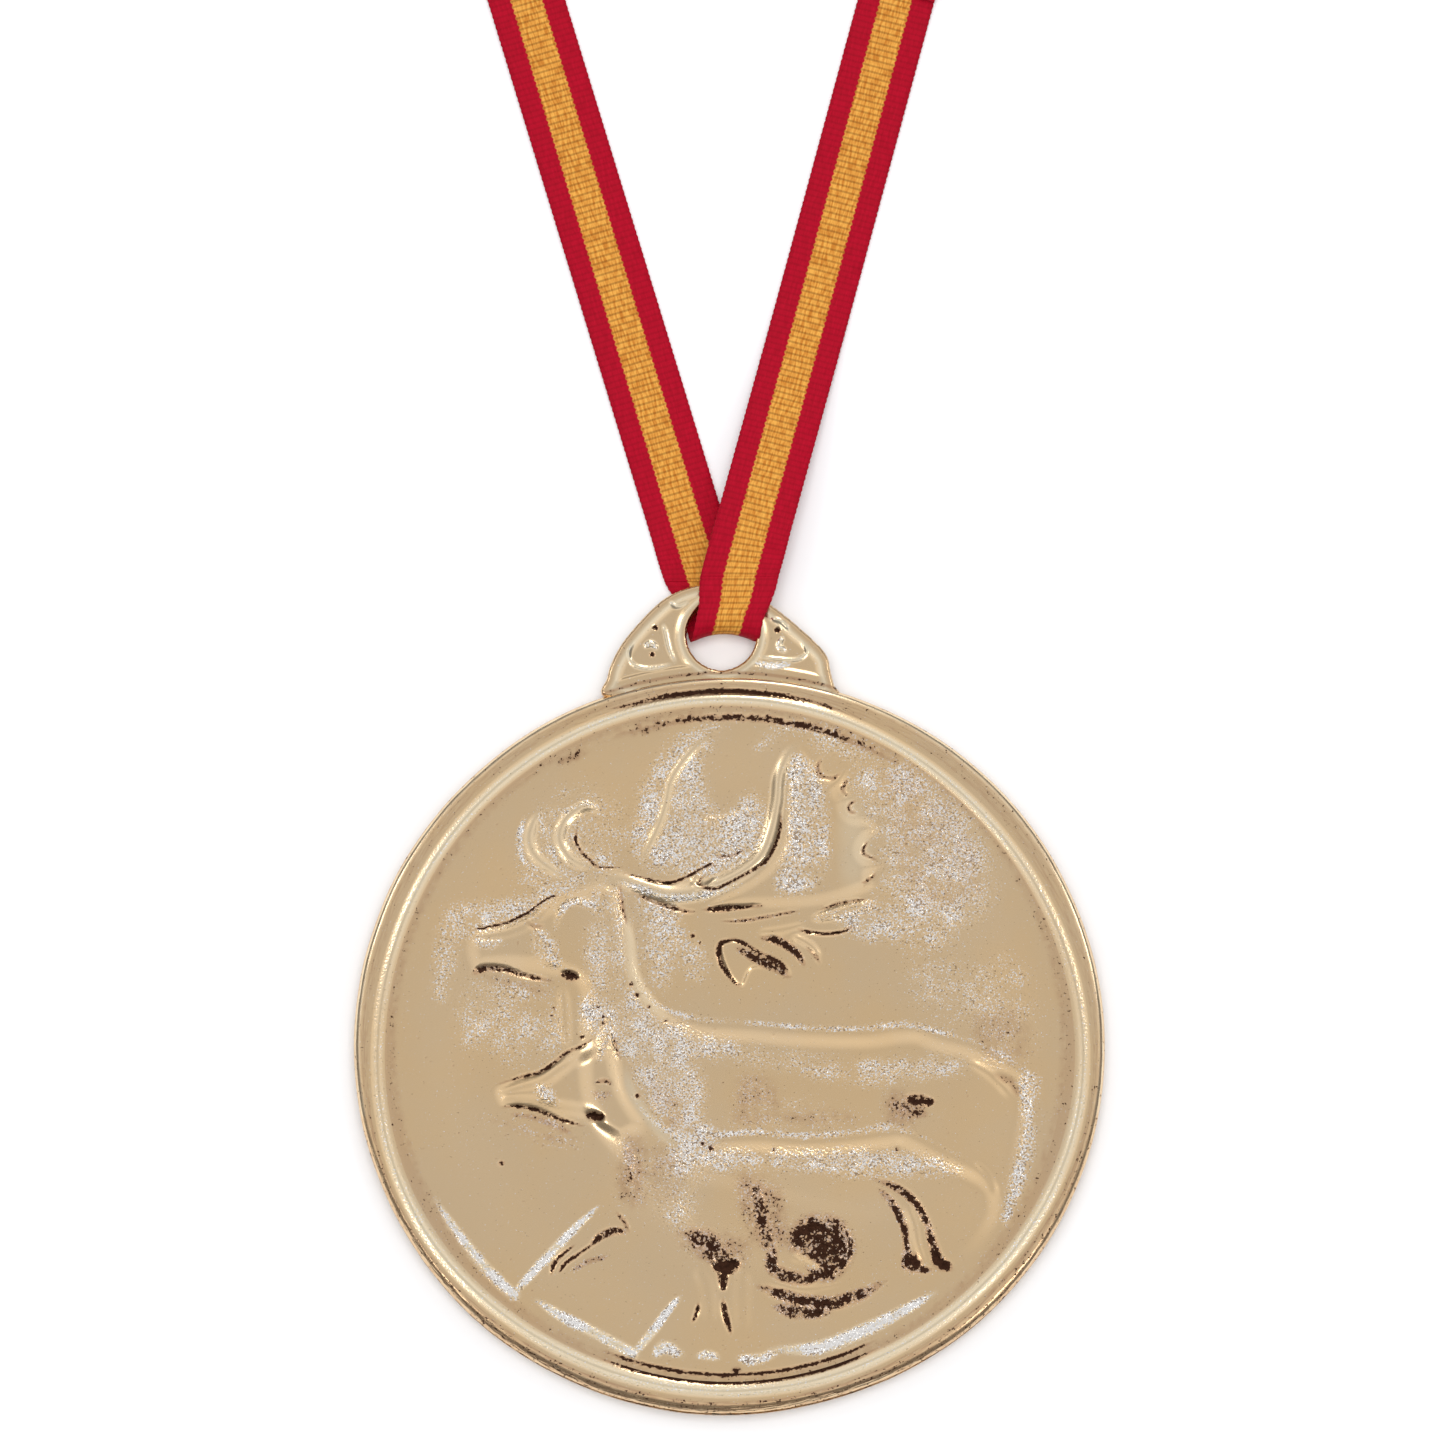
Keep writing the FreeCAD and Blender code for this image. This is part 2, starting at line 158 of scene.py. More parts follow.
def cord_routes():
    """Centre lines of the two halves of the ribbon, meeting half way along the coil."""
    middle = COIL_START + COIL_SWEEP * 0.50
    end = COIL_START + COIL_SWEEP
    half_count = int(COIL_SWEEP / 2 / COIL_STEP)
    front = leg_points(FRONT_START, FRONT_LEAN, FRONT_STATIONS)
    front += turn_points(COIL_CENTRE, coil_radius, COIL_START + 2, middle, half_count)
    back = leg_points(BACK_START, BACK_LEAN, BACK_STATIONS)
    back += turn_points(JOINING_AXIS, lambda a: JOINING_RADIUS,
                        JOINING_BEGINS - 8, JOINING_MEETS + 12, 4)
    back += turn_points(COIL_CENTRE, coil_radius, end - 12, middle, half_count)
    return route("front_route", front), route("back_route", back)


FRONT_LINE, BACK_LINE = cord_routes()


# ---------------------------------------------------------------- mesh helpers
def mesh_piece(name, points, faces):
    """A smooth-shaded mesh object from points in millimetres and faces."""
    mesh = bpy.data.meshes.new(name)
    mesh.from_pydata((np.asarray(points, float) * MM).tolist(), [], faces)
    mesh.update()
    mesh.polygons.foreach_set("use_smooth", [True] * len(mesh.polygons))
    piece = bpy.data.objects.new(name, mesh)
    bpy.context.scene.collection.objects.link(piece)
    return piece


def add_attribute(piece, name, values):
    """One number per vertex, for the material to read."""
    attribute = piece.data.attributes.new(name, "FLOAT", "POINT")
    attribute.data.foreach_set("value", np.asarray(values, np.float32).ravel())


def add_layers(piece, extra, **layers):
    """Attributes for the first vertices, and nothing for the extra ones after them."""
    for name, values in layers.items():
        add_attribute(piece, name, np.concatenate([values.ravel(), np.zeros(extra)]))


def grid_faces(rows, columns, wrap=False):
    """Quads of a grid of points, row after row; wrap joins the last column to the first."""
    across = columns if wrap else columns - 1
    r, c = np.meshgrid(np.arange(rows - 1), np.arange(across), indexing="ij")
    nxt = (c + 1) % columns
    quads = np.stack([r * columns + c, r * columns + nxt,
                      (r + 1) * columns + nxt, (r + 1) * columns + c], axis=-1)
    return quads.reshape(-1, 4)


def smoothstep(x):
    """From 0 at x = 0 to 1 at x = 1, level at both ends and beyond them."""
    x = np.clip(x, 0, 1)
    return x * x * (3 - 2 * x)


def bell(x, centre, width):
    """1 at the centre, and down to nothing in about two widths on either side."""
    return np.exp(-((x - centre) / width) ** 2)


def unit(vectors):
    """Each row as a vector of length one."""
    return vectors / np.linalg.norm(vectors, axis=1)[:, None]


# ---------------------------------------------------------------- ribbon meshes
RIB_PITCH = 0.566
RIB_DEPTH = 0.022
# Points over the ribbon's width, on each of its two faces.
COLUMNS = 15


def ribbon_mesh(name, centre, across, along, half_width, dip=None):
    """A closed woven band along a line. across is the direction of its width there."""
    across = unit(across)
    upward = unit(np.cross(across, unit(np.gradient(centre, axis=0))))
    rib = np.cos(2 * math.pi * along / RIB_PITCH)
    share = np.linspace(-1, 1, COLUMNS)
    ring_across = np.concatenate([share, [1.012], share[::-1], [-1.012]])
    edge = np.minimum(1, (1 - np.abs(share)) / 0.06 + 0.55)
    ring_up = np.concatenate([edge, [0], -edge, [0]])
    width = half_width + 0.028 * rib
    thick = RIBBON_THICKNESS / 2 - RIB_DEPTH * (0.5 - 0.5 * rib)
    points = (centre[:, None, :]
              + across[:, None, :] * (ring_across[None, :] * width[:, None])[..., None]
              + upward[:, None, :] * (ring_up[None, :] * thick[:, None])[..., None])
    if dip is not None:
        points += upward[:, None, :] * (dip[:, None] * (ring_across ** 2)[None, :])[..., None]
    columns = len(ring_across)
    faces = grid_faces(len(centre), columns, wrap=True)[:, ::-1].tolist()
    faces.append(list(range(columns)))
    faces.append(list(range(len(centre) * columns - 1, (len(centre) - 1) * columns - 1, -1)))
    piece = mesh_piece(name, points.reshape(-1, 3), faces)
    add_attribute(piece, "weave_across",
                  np.tile(ring_across * RIBBON_WIDTH / 2, (len(centre), 1)))
    add_attribute(piece, "weave_along", np.repeat(along, columns))
    return piece


def cord_ribbon(name, line, lean):
    """One half of the ribbon: flat along its leg, then turned on edge into the coil."""
    centre, along = evenly(line, RIB_PITCH / 4)
    sideways = unit(np.cross(unit(np.gradient(centre, axis=0)), UP))
    lift = np.clip((centre[:, 2] - RESTING) / (EDGE_HEIGHT - RESTING), 0, 1)
    lift[along < FLAT_BEFORE] = 0
    turn = np.arcsin(lift)[:, None]
    across = sideways * np.cos(turn) + UP * np.sin(turn)
    level = np.clip(1 - along / SQUARE_RUN, 0, 1)
    across = across * (1 - level[:, None]) + SIDEWAYS * level[:, None]
    skew = 1 + (1 / math.cos(math.radians(lean)) - 1) * level
    return ribbon_mesh(name, centre, across, along, RIBBON_WIDTH / 2 * skew), centre


front_ribbon, front_path = cord_ribbon("front_ribbon", FRONT_LINE, FRONT_LEAN)
back_ribbon, back_path = cord_ribbon("back_ribbon", BACK_LINE, BACK_LEAN)


# ---------------------------------------------------------------- relief tools
def spline(points, closed=False, per_span=8):
    """A smooth line through the points; further columns, such as a width, go along."""
    p = np.array(points, float)
    if closed:
        p = np.concatenate([p[-1:], p, p[:2]])
    else:
        p = np.concatenate([2 * p[:1] - p[1:2], p, 2 * p[-1:] - p[-2:-1]])
    t = np.linspace(0, 1, per_span, endpoint=False)[:, None]
    spans = [
        0.5 * (2 * b + (c - a) * t + (2 * a - 5 * b + 4 * c - d) * t ** 2
               + (3 * b - 3 * c + d - a) * t ** 3)
        for a, b, c, d in zip(p, p[1:], p[2:], p[3:])
    ]
    line = np.concatenate(spans)
    return np.concatenate([line, line[:1] if closed else p[-2:-1]])


def noise(x, y, scale, seed):
    """Smooth random values from -1 to 1 that change over about that many millimetres."""
    random = np.random.default_rng(seed)
    size = 256
    lattice = random.uniform(-1, 1, (size, size))
    u, v = x / scale + size / 2, y / scale + size / 2
    i, j = np.floor(u).astype(int), np.floor(v).astype(int)
    fu, fv = smoothstep(u - i), smoothstep(v - j)

    def corner(di, dj):
        """The value at one of the four lattice points round each place."""
        return lattice[(i + di) % size, (j + dj) % size]

    near = corner(0, 0) * (1 - fu) + corner(1, 0) * fu
    far = corner(0, 1) * (1 - fu) + corner(1, 1) * fu
    return near * (1 - fv) + far * fv


def distance_to(line, x, y):
    """Distance to a line of points, and the line's values at the nearest place."""
    a, b = line[:-1], line[1:]
    span = b[:, :2] - a[:, :2]
    length2 = np.maximum((span ** 2).sum(1), 1e-9)
    px, py = x.ravel()[:, None], y.ravel()[:, None]
    t = ((px - a[:, 0]) * span[:, 0] + (py - a[:, 1]) * span[:, 1]) / length2
    t = np.clip(t, 0, 1)
    d2 = (px - a[:, 0] - t * span[:, 0]) ** 2 + (py - a[:, 1] - t * span[:, 1]) ** 2
    nearest = d2.argmin(1)
    rows = np.arange(len(nearest))
    share = t[rows, nearest]
    values = a[nearest] + (b[nearest] - a[nearest]) * share[:, None]
    along = (nearest + share) / len(a)
    return (np.sqrt(d2[rows, nearest]).reshape(x.shape),
            values.reshape(*x.shape, -1), along.reshape(x.shape))


def inside(line, x, y):
    """Whether each place is inside a closed line."""
    hit = np.zeros(x.shape, bool)
    for a, b in zip(line[:-1], line[1:]):
        crosses = (a[1] > y) != (b[1] > y)
        rise = b[1] - a[1] if b[1] != a[1] else 1e-9
        hit ^= crosses & (x < (b[0] - a[0]) * (y - a[1]) / rise + a[0])
    return hit


def open_sides(quads, total):
    """Start and end of every side that belongs to one quad only."""
    starts, ends = quads.ravel(), np.roll(quads, -1, axis=1).ravel()
    alone = ~np.isin(starts * total + ends, ends * total + starts)
    return starts[alone], ends[alone]


def closed_loop(starts, ends):
    """The sides one after another, as one face that looks down."""
    following = dict(zip(ends.tolist(), starts.tolist()))
    loop = [int(starts[0])]
    while following[loop[-1]] != loop[0]:
        loop.append(following[loop[-1]])
    return loop


class Relief:
    """Height over the field, its stain and painted shade, its grain and its pale painted
    highlight, on a grid in millimetres.
    """

    def __init__(self, low, high, pitch):
        columns = int(round((high[0] - low[0]) / pitch)) + 1
        rows = int(round((high[1] - low[1]) / pitch)) + 1
        self.low, self.pitch = low, pitch
        self.x, self.y = np.meshgrid(low[0] + pitch * np.arange(columns),
                                     low[1] + pitch * np.arange(rows))
        self.height = np.zeros_like(self.x)
        self.stain = np.zeros_like(self.x)
        self.grain = np.zeros_like(self.x)
        self.pale = np.zeros_like(self.x)

    def window(self, line, margin):
        """The part of the grid within a margin of a line."""
        rows, columns = self.x.shape
        lo = ((line[:, :2].min(0) - margin - self.low) / self.pitch).astype(int)
        hi = ((line[:, :2].max(0) + margin - self.low) / self.pitch).astype(int) + 2
        return (slice(max(lo[1], 0), min(max(hi[1], 1), rows)),
                slice(max(lo[0], 0), min(max(hi[0], 1), columns)))

    def depth_in(self, outline, margin):
        """Window and signed distance to a closed outline, positive inside."""
        line = spline(outline, closed=True, per_span=6)
        here = self.window(line, margin)
        x, y = self.x[here], self.y[here]
        distance = distance_to(line, x, y)[0]
        return here, np.where(inside(line, x, y), distance, -distance)

    def figure(self, outline, rise, edge, fade=None, spread=None):
        """Raise what lies inside an outline; fade thins it, spread widens its sloping edge."""
        here, depth = self.depth_in(outline, 1.0)
        x, y = self.x[here], self.y[here]
        wide = edge * (1 + spread(x, y)) if spread else edge
        lift = rise * smoothstep(depth / wide)
        if fade:
            lift *= fade(x, y)
        self.height[here] += lift

    def stroke(self, points, rise, stain=0.0, grain=0.0, pale=0.0, round_ends=True):
        """Raise or sink a line of points (x, y, half width); stain and painted shade, grain and
        pale painted highlight follow it.

        A stain and painted shade, or a grain, below zero wipes away what is there.
        """
        line = spline(points)
        here = self.window(line, line[:, 2].max() * 1.3)
        distance, values, along = distance_to(line, self.x[here], self.y[here])
        width = np.maximum(values[..., 2], 1e-3)
        profile = 0.5 + 0.5 * np.cos(math.pi * np.clip(distance / width, 0, 1))
        if round_ends:
            profile = profile * smoothstep(np.minimum(along, 1 - along) / 0.24 + 0.12)
        self.height[here] += rise * profile
        for layer, amount in ((self.stain, stain), (self.grain, grain), (self.pale, pale)):
            if amount < 0:
                layer[here] *= 1 + amount * np.sqrt(profile)
            else:
                layer[here] = np.maximum(layer[here], amount * np.sqrt(profile))

    def strokes(self, table):
        """Every stroke of a table, in its order."""
        for rise, stain, grain, pale, points in table:
            self.stroke(points, rise, stain, grain, pale)

    def darken(self, amount):
        """At least this much stain and painted shade."""
        self.stain = np.maximum(self.stain, amount)

    def patch(self, outline, soft, stain=0.0, grain=0.0, rise=0.0):
        """Darken with stain and painted shade, roughen or lift what lies inside an outline, with a
        soft edge.
        """
        here, depth = self.depth_in(outline, soft)
        share = smoothstep(depth / soft * 0.5 + 0.5)
        self.stain[here] = np.maximum(self.stain[here], stain * share)
        self.grain[here] = np.maximum(self.grain[here], grain * share)
        self.height[here] += rise * share

    def block(self, name, depth, base, bottom, solid_bottom):
        """A closed mesh of what lies where depth is positive; its edge is on depth zero."""
        rows, columns = self.x.shape
        keep = depth > -0.4 * self.pitch
        cells = keep[:-1, :-1] & keep[:-1, 1:] & keep[1:, :-1] & keep[1:, 1:]
        quads = grid_faces(rows, columns)[cells.ravel()]
        starts, ends = open_sides(quads, rows * columns)
        edge = np.unique(starts)
        down_y, down_x = (slope.ravel()[edge] for slope in np.gradient(depth, self.pitch))
        far, steep = depth.ravel()[edge], np.maximum(down_x ** 2 + down_y ** 2, 0.3)
        top = np.stack([self.x, self.y, base + self.height], axis=-1).reshape(-1, 3)
        top[edge, 0] -= far * down_x / steep
        top[edge, 1] -= far * down_y / steep
        used, index = np.unique(quads, return_inverse=True)
        faces, count = index.reshape(-1, 4), len(used)
        place = np.full(rows * columns, -1)
        place[used] = np.arange(count)
        if solid_bottom:
            under, spot = top[used], place + count
            faces = np.concatenate([faces, (faces + count)[:, ::-1]])
        else:
            under, spot = top[edge], np.full(rows * columns, -1)
            spot[edge] = count + np.arange(len(edge))
        under[:, 2] = bottom
        skirt = np.stack([spot[starts], spot[ends], place[ends], place[starts]], axis=1)
        faces = np.concatenate([faces, skirt]).tolist()
        if not solid_bottom:
            faces.append(closed_loop(spot[starts], spot[ends]))
        piece = mesh_piece(name, np.concatenate([top[used], under]), faces)
        add_layers(piece, len(under), stain=self.stain.ravel()[used],
                   grain=self.grain.ravel()[used], pale=self.pale.ravel()[used])
        piece.data.set_sharp_from_angle(angle=math.radians(60))
        return piece


# ---------------------------------------------------------------- the medal's face
FIELD_RADIUS = 31.35
FIELD_HEIGHT = 2.0
FACE_PITCH = 0.18
DISH_RISE, DISH_FROM = 0.68, 21.0
# The height at which the face's block stands on the rim's casting.
SEAT = 1.5
BUCK_BODY = [
    (-15.6, 14.2), (-13.9, 14.9), (-11.6, 15.6), (-9.6, 14.8), (-9, 12.6), (-8.5, 10.4), (-8.2, 8),
    (-7.6, 6), (-6.7, 4.6), (-5.2, 3.1), (-2.6, 2), (2.7, 1.6), (6, 1.3), (12.4, 1.1), (15.6, 1.5),
    (17.8, 1.5), (19.8, .7), (23.1, -.2), (27, -2.2), (28.6, -4.6), (28, -9), (26.4, -14),
    (22, -19), (0, -14), (-9, -12), (-13.6, -6), (-14.2, .4), (-14, 4.6), (-15.6, 5.9),
    (-19.7, 6.5), (-23.4, 6.4), (-24.6, 8), (-24.5, 10.2), (-22.7, 10.9), (-21, 11.3),
    (-19.5, 11.9), (-17.6, 13.2),
]
DOE_BODY = [
    (-13.4, -.2), (-12.2, .7), (-11.2, 2.2), (-10.5, 2.4), (-10, .8), (-9.7, -1.2), (-9.1, -3.8),
    (-8.1, -5.7), (-6.8, -7.3), (-5.2, -8.5), (-2.6, -8.9), (2.7, -8.7), (7, -9), (11.3, -8.7),
    (14.6, -8.3), (16.2, -8.2), (17.8, -8.9), (19.9, -10), (22.1, -11), (24.2, -12.2), (25.4, -14),
    (25.2, -17), (22, -21), (18, -22.5), (10, -25), (1, -28), (-3, -24), (-6, -20.6), (-9.8, -17),
    (-12.4, -13), (-12.8, -9), (-13.4, -7.4), (-16.7, -6.8), (-19, -6.3), (-21.2, -6),
    (-21.9, -4.6), (-21.4, -3.7), (-19.1, -3), (-17.4, -2.6), (-16.1, -1.7), (-15, -.8),
]
PALM = [
    (6.2, 28), (7.9, 26.9), (8.5, 25.6), (9.6, 25.1), (10.7, 25.9), (11.6, 25.9), (11, 24.4),
    (10.7, 23.4), (11.7, 23.2), (11.2, 22.2), (11.6, 21.5), (13.2, 21.2), (14.4, 20), (13.3, 18.9),
    (12.7, 18), (13.4, 17.3), (14.5, 16.7), (13.6, 15.6), (13.9, 14.6), (12, 13.6), (8, 12.6),
    (3, 12.4), (-2, 12.4), (-1, 14), (3.2, 16.6), (5, 19.6), (5.2, 24),
]
FINGERS = [
    (-1, 9.4), (.8, 9.9), (3, 8.9), (5.4, 7.6), (5.9, 6.2), (4.4, 6.6), (2.4, 6.9), (1.4, 5.2),
    (.2, 5.8), (-.6, 7.6),
]
PALM_CREST = [
    (11.6, 21.4), (13.4, 21.6), (15.4, 19.6), (16, 17.6), (15.2, 15.2), (13.2, 14.2), (11.4, 15.4),
    (10.8, 18.4),
]
FLANK_HOLLOW = [
    (5.6, -19.4), (5.9, -17.2), (7.4, -16), (9.6, -15.9), (11.2, -17.2), (11.7, -19.4),
    (10.6, -21.3), (8.6, -21.9), (6.6, -21),
]
FLANK_SHADE_AND_STAIN = [
    (5.7, -18.8), (6.2, -16.9), (7.6, -16.1), (9.6, -16.2), (11, -17.3), (11.6, -19.4),
    (10.4, -21.2), (8.8, -22), (8.2, -20.4), (6.8, -19.6),
]

# A stroke: its rise, its stain and painted shade, its grain, its pale painted highlight, then its
# points (x, y, half width).
BUCK_STROKES = [
    (-.1, 1, 0, 0, [(-24.2, 10.5, .1), (-22.3, 10.85, .17), (-20.3, 11.4, .18),
     (-18.6, 12.25, .18), (-17.7, 12.95, .16), (-16.6, 13.65, .14), (-15.3, 13.95, .1)]),
    (.1, 0, 0, 0, [(-24.2, 9.9, .4), (-21, 10.4, .5), (-18.6, 11.4, .6), (-16.6, 13, .5)]),
    # cheek, brow arch and the eye
    (.08, 0, 1, 0, [(-17.9, 11, .5), (-17.2, 9.4, 1.5), (-16.4, 8, 1.4), (-15.2, 7.4, .6)]),
    (.09, 0, 1, 0, [(-16.2, 10.2, .3), (-15.6, 12.2, .5), (-14.4, 13.2, .6), (-12.6, 12.8, .5),
     (-11.4, 12, .3)]),
    (-.1, .35, 0, 0, [(-18.9, 11.3, .3), (-17.9, 10.9, .45), (-17, 10.9, .3)]),
    (.06, 0, .8, 0, [(-23.8, 9.6, .5), (-22.2, 9.3, .8), (-20.8, 9.7, .4)]),
    # jaw line, sunk and darkened with painted shade under the jaw
    (-.2, .75, .7, 0, [(-23.7, 6.5, .4), (-22.8, 6.95, .5), (-20.9, 6.95, .4), (-18.8, 6.3, .36),
     (-16.2, 5.8, .3)]),
    (-.22, 1, 0, 0, [(-15.6, 6.6, .3), (-14.7, 6.3, .62), (-13.8, 6.2, .3)]),
    (.14, 0, 0, 0, [(-15.4, 5.6, .6), (-15.2, 3.4, .9), (-15.1, 1.2, .9), (-14.8, -.4, .5)]),
    # ear, throat and the ridge of the neck
    (-.12, .5, 0, 0, [(-10.1, 14.9, .22), (-9.9, 13.2, .3), (-9.4, 11, .2)]),
    (.06, 0, 0, 0, [(-11.2, 15.2, .5), (-11.3, 12.6, 1.1), (-11.2, 9.6, .8)]),
    (.04, 0, -1, .45, [(-9.7, 12.4, .4), (-9.1, 9.4, .7), (-8.8, 6.6, .8), (-7.4, 3.9, .8),
     (-5.2, 2, .6)]),
    # haunch, tail and the hollow of the flank, darkened with painted shade in the hollow
    (.12, 0, 0, 0, [(22.2, -1.6, .5), (24.6, -3.2, .7), (26.3, -5.2, .5)]),
    (-.1, .3, 0, 0, [(24.4, -2.9, .4), (26.2, -3.7, .7), (27, -5.2, .4)]),
    (-.2, .95, .6, 0, [(16.3, -5.1, .4), (17.9, -5.4, .8), (19.2, -5.5, .3)]),
    (-.06, .55, .8, 0, [(14.9, -5.6, .5), (16.4, -6.2, 1), (18.6, -6.6, .6)]),
]
ANTLER_STROKES = [
    # brow tine
    (.22, 0, -1, .35, [(-17.5, 21.8, .3), (-18.2, 20.4, .75), (-18.5, 19, .85), (-18, 17.6, .8),
     (-16.8, 16.5, .75), (-15.2, 15.5, .5)]),
    (.03, 0, 1, 0, [(-18.9, 21.3, .3), (-19.4, 19.6, .45), (-19.3, 17.6, .5), (-18.4, 16.4, .3)]),
    (.07, 0, 1, 0, [(-17.6, 21.9, .3), (-17.2, 19.9, .4), (-16.5, 18.4, .4), (-15.8, 17.3, .3)]),
    # hooked second tine
    (.26, 0, -1, .35, [(-12, 21.5, .4), (-12.7, 22.1, .6), (-13.7, 22, .7), (-15.1, 20.9, .8),
     (-15.7, 19.3, .85), (-15.2, 17.9, .8), (-14.1, 16.9, .7), (-12.4, 16.5, .6)]),
    (.03, 0, 1, 0, [(-11.7, 21.4, .2), (-12.7, 22.3, .4), (-14.2, 22.2, .4), (-15.6, 21.2, .35)]),
    (-.12, .8, 0, 0, [(-14, 20.4, .12), (-14.2, 19.1, .2), (-13.7, 18, .2), (-12.8, 17.1, .2),
     (-12, 16.5, .2), (-9.7, 16.5, .12)]),
    (.05, 0, .9, 0, [(-13.6, 20.2, .3), (-13.4, 18.9, .5), (-12.4, 17.7, .5), (-10.6, 17, .3)]),
    # main beam
    (.36, 0, -1, .35, [(-12.8, 15.2, .8), (-10.4, 15.4, 1), (-8, 14.7, 1.15), (-5.6, 14, 1.2),
     (-3.2, 14.2, 1.2), (-.6, 15, 1.1), (1.6, 16.2, 1.05), (3.2, 17.8, 1), (4.1, 20.2, .95),
     (4.6, 22.8, .9), (4.8, 25, .85), (5.6, 27, .75), (6.6, 28.1, .5)]),
    (-.12, .95, 0, 0, [(-9.8, 16, .12), (-7.9, 15.45, .2), (-6, 15.05, .22), (-4.7, 15.2, .22),
     (-3, 16.05, .2), (-1.7, 16.75, .16), (-1.2, 16.6, .12)]),
    (-.12, .85, 0, 0, [(-1.9, 15.9, .12), (-2.7, 15.15, .18), (-2.3, 14.6, .2), (-1.2, 14.45, .2),
     (.2, 15.05, .2), (2.1, 16.1, .22), (3.6, 17.15, .24), (4.5, 18.8, .24), (4.9, 20.6, .2),
     (4.8, 22.1, .12)]),
    (.05, 0, 1, 0, [(-6.8, 16.4, .2), (-5.2, 16, .5), (-3.6, 16.8, .4)]),
    (.03, 0, 1, .6, [(-10.4, 15.2, .3), (-8.2, 14.5, .5), (-5.6, 13.7, .5), (-2.6, 13.8, .55),
     (1.4, 15, .45)]),
    (.16, 0, 0, 0, [(-1.6, 16.9, .3), (-2.8, 16, .5), (-3.1, 14.8, .5), (-2, 14.6, .4),
     (-1, 15.6, .35)]),
    (-.12, .6, 0, 0, [(-1.2, 17.4, .15), (.4, 17.6, .24), (1.6, 18.2, .14)]),
    (-.14, .55, 0, 0, [(-9.2, 14.2, .2), (-6.4, 13.1, .35), (-4.2, 12.4, .3), (-2.8, 12.3, .2)]),
    # far beam, behind
    (.18, 0, -1, .4, [(-8.2, 16.8, .4), (-7.2, 18.8, .6), (-6.3, 20.8, .62), (-5.75, 22.6, .6),
     (-5.4, 24.3, .6), (-4.6, 25.8, .6), (-3.3, 27.4, .55), (-1.8, 28.7, .3)]),
    (.12, 0, .8, 0, [(-8.6, 20.6, .3), (-7.6, 20.4, .5), (-6.6, 21.2, .3)]),
    (.16, 0, 0, 0, [(-2.4, 21.2, .4), (-.6, 20.8, .7), (1.2, 21.9, .3)]),
    (-.1, .5, 0, 0, [(8.8, 26.7, .2), (8.4, 25.9, .34), (8.7, 25, .34), (9.8, 24.8, .3),
     (10.6, 25.3, .2)]),
    (-.11, .5, 0, 0, [(11.2, 24.8, .2), (10.7, 23.7, .34), (11.4, 23, .2)]),
    (-.11, .5, 0, 0, [(12, 22.7, .2), (11.3, 22.3, .3), (11.4, 21.7, .3), (12.2, 21.5, .2)]),
    (-.12, .7, 0, 0, [(13, 18.9, .14), (12.6, 17.8, .26), (13.9, 17.1, .16)]),
    (-.1, .8, 0, 0, [(13.8, 15.9, .12), (13, 15.2, .2), (12.4, 14.9, .1)]),
    (0, 0, -1, .4, [(11.2, 23.4, 1), (11.6, 20.4, 1.8), (11.8, 17.4, 1.9), (11.4, 14.4, 1.2)]),
    # lower fingers
    (.26, 0, .35, 0, [(7.6, 11.6, .5), (9.8, 12.1, .85), (12, 12.7, .9), (13.8, 13.2, .5)]),
    (-.12, .6, 0, 0, [(8.4, 12.4, .12), (10.4, 13.1, .22), (13, 13.5, .16)]),
    (-.16, .85, 0, 0, [(6.4, 10.7, .15), (8.2, 10.3, .26), (10.3, 10.35, .24), (12, 11.1, .14)]),
    (.2, 0, 0, 0, [(5.8, 10.2, .4), (7.6, 9.2, .6), (8.6, 7.9, .4)]),
    (-.12, .5, 0, 0, [(7.2, 9, .15), (8.2, 8.1, .3), (8.6, 7.3, .14)]),
    (-.14, .9, .8, 0, [(3, 9.9, .3), (4.9, 9.5, .55), (6.3, 8.5, .5), (7.2, 7.2, .25)]),
    (-.08, .75, .9, 0, [(.6, 9, .3), (2.6, 7.9, .6), (4.8, 6.9, .55), (5.6, 6.1, .25)]),
    (-.16, .95, 0, 0, [(.8, 9.75, .16), (-.7, 9.3, .34), (-.75, 7.8, .36), (.2, 6.2, .24),
     (1.3, 5.1, .12)]),
    (-.12, .95, 0, 0, [(-.6, 9.6, .14), (.9, 9.6, .24), (2.9, 8.5, .24), (5, 7.4, .26),
     (5.7, 6.1, .14)]),
    # shadow under the palm
    (-.18, .9, 0, 0, [(-2.4, 12.5, .2), (-.8, 12.6, .42), (1.4, 12.75, .3), (3.4, 12.9, .2)]),
    (-.1, .6, .6, 0, [(-.8, 11.4, .15), (1.6, 11.5, .25), (4.4, 12, .25), (6.6, 12.4, .15)]),
    (.12, 0, 0, 0, [(2.6, 10.4, .4), (5, 10.6, .6), (7.4, 11.2, .4)]),
]
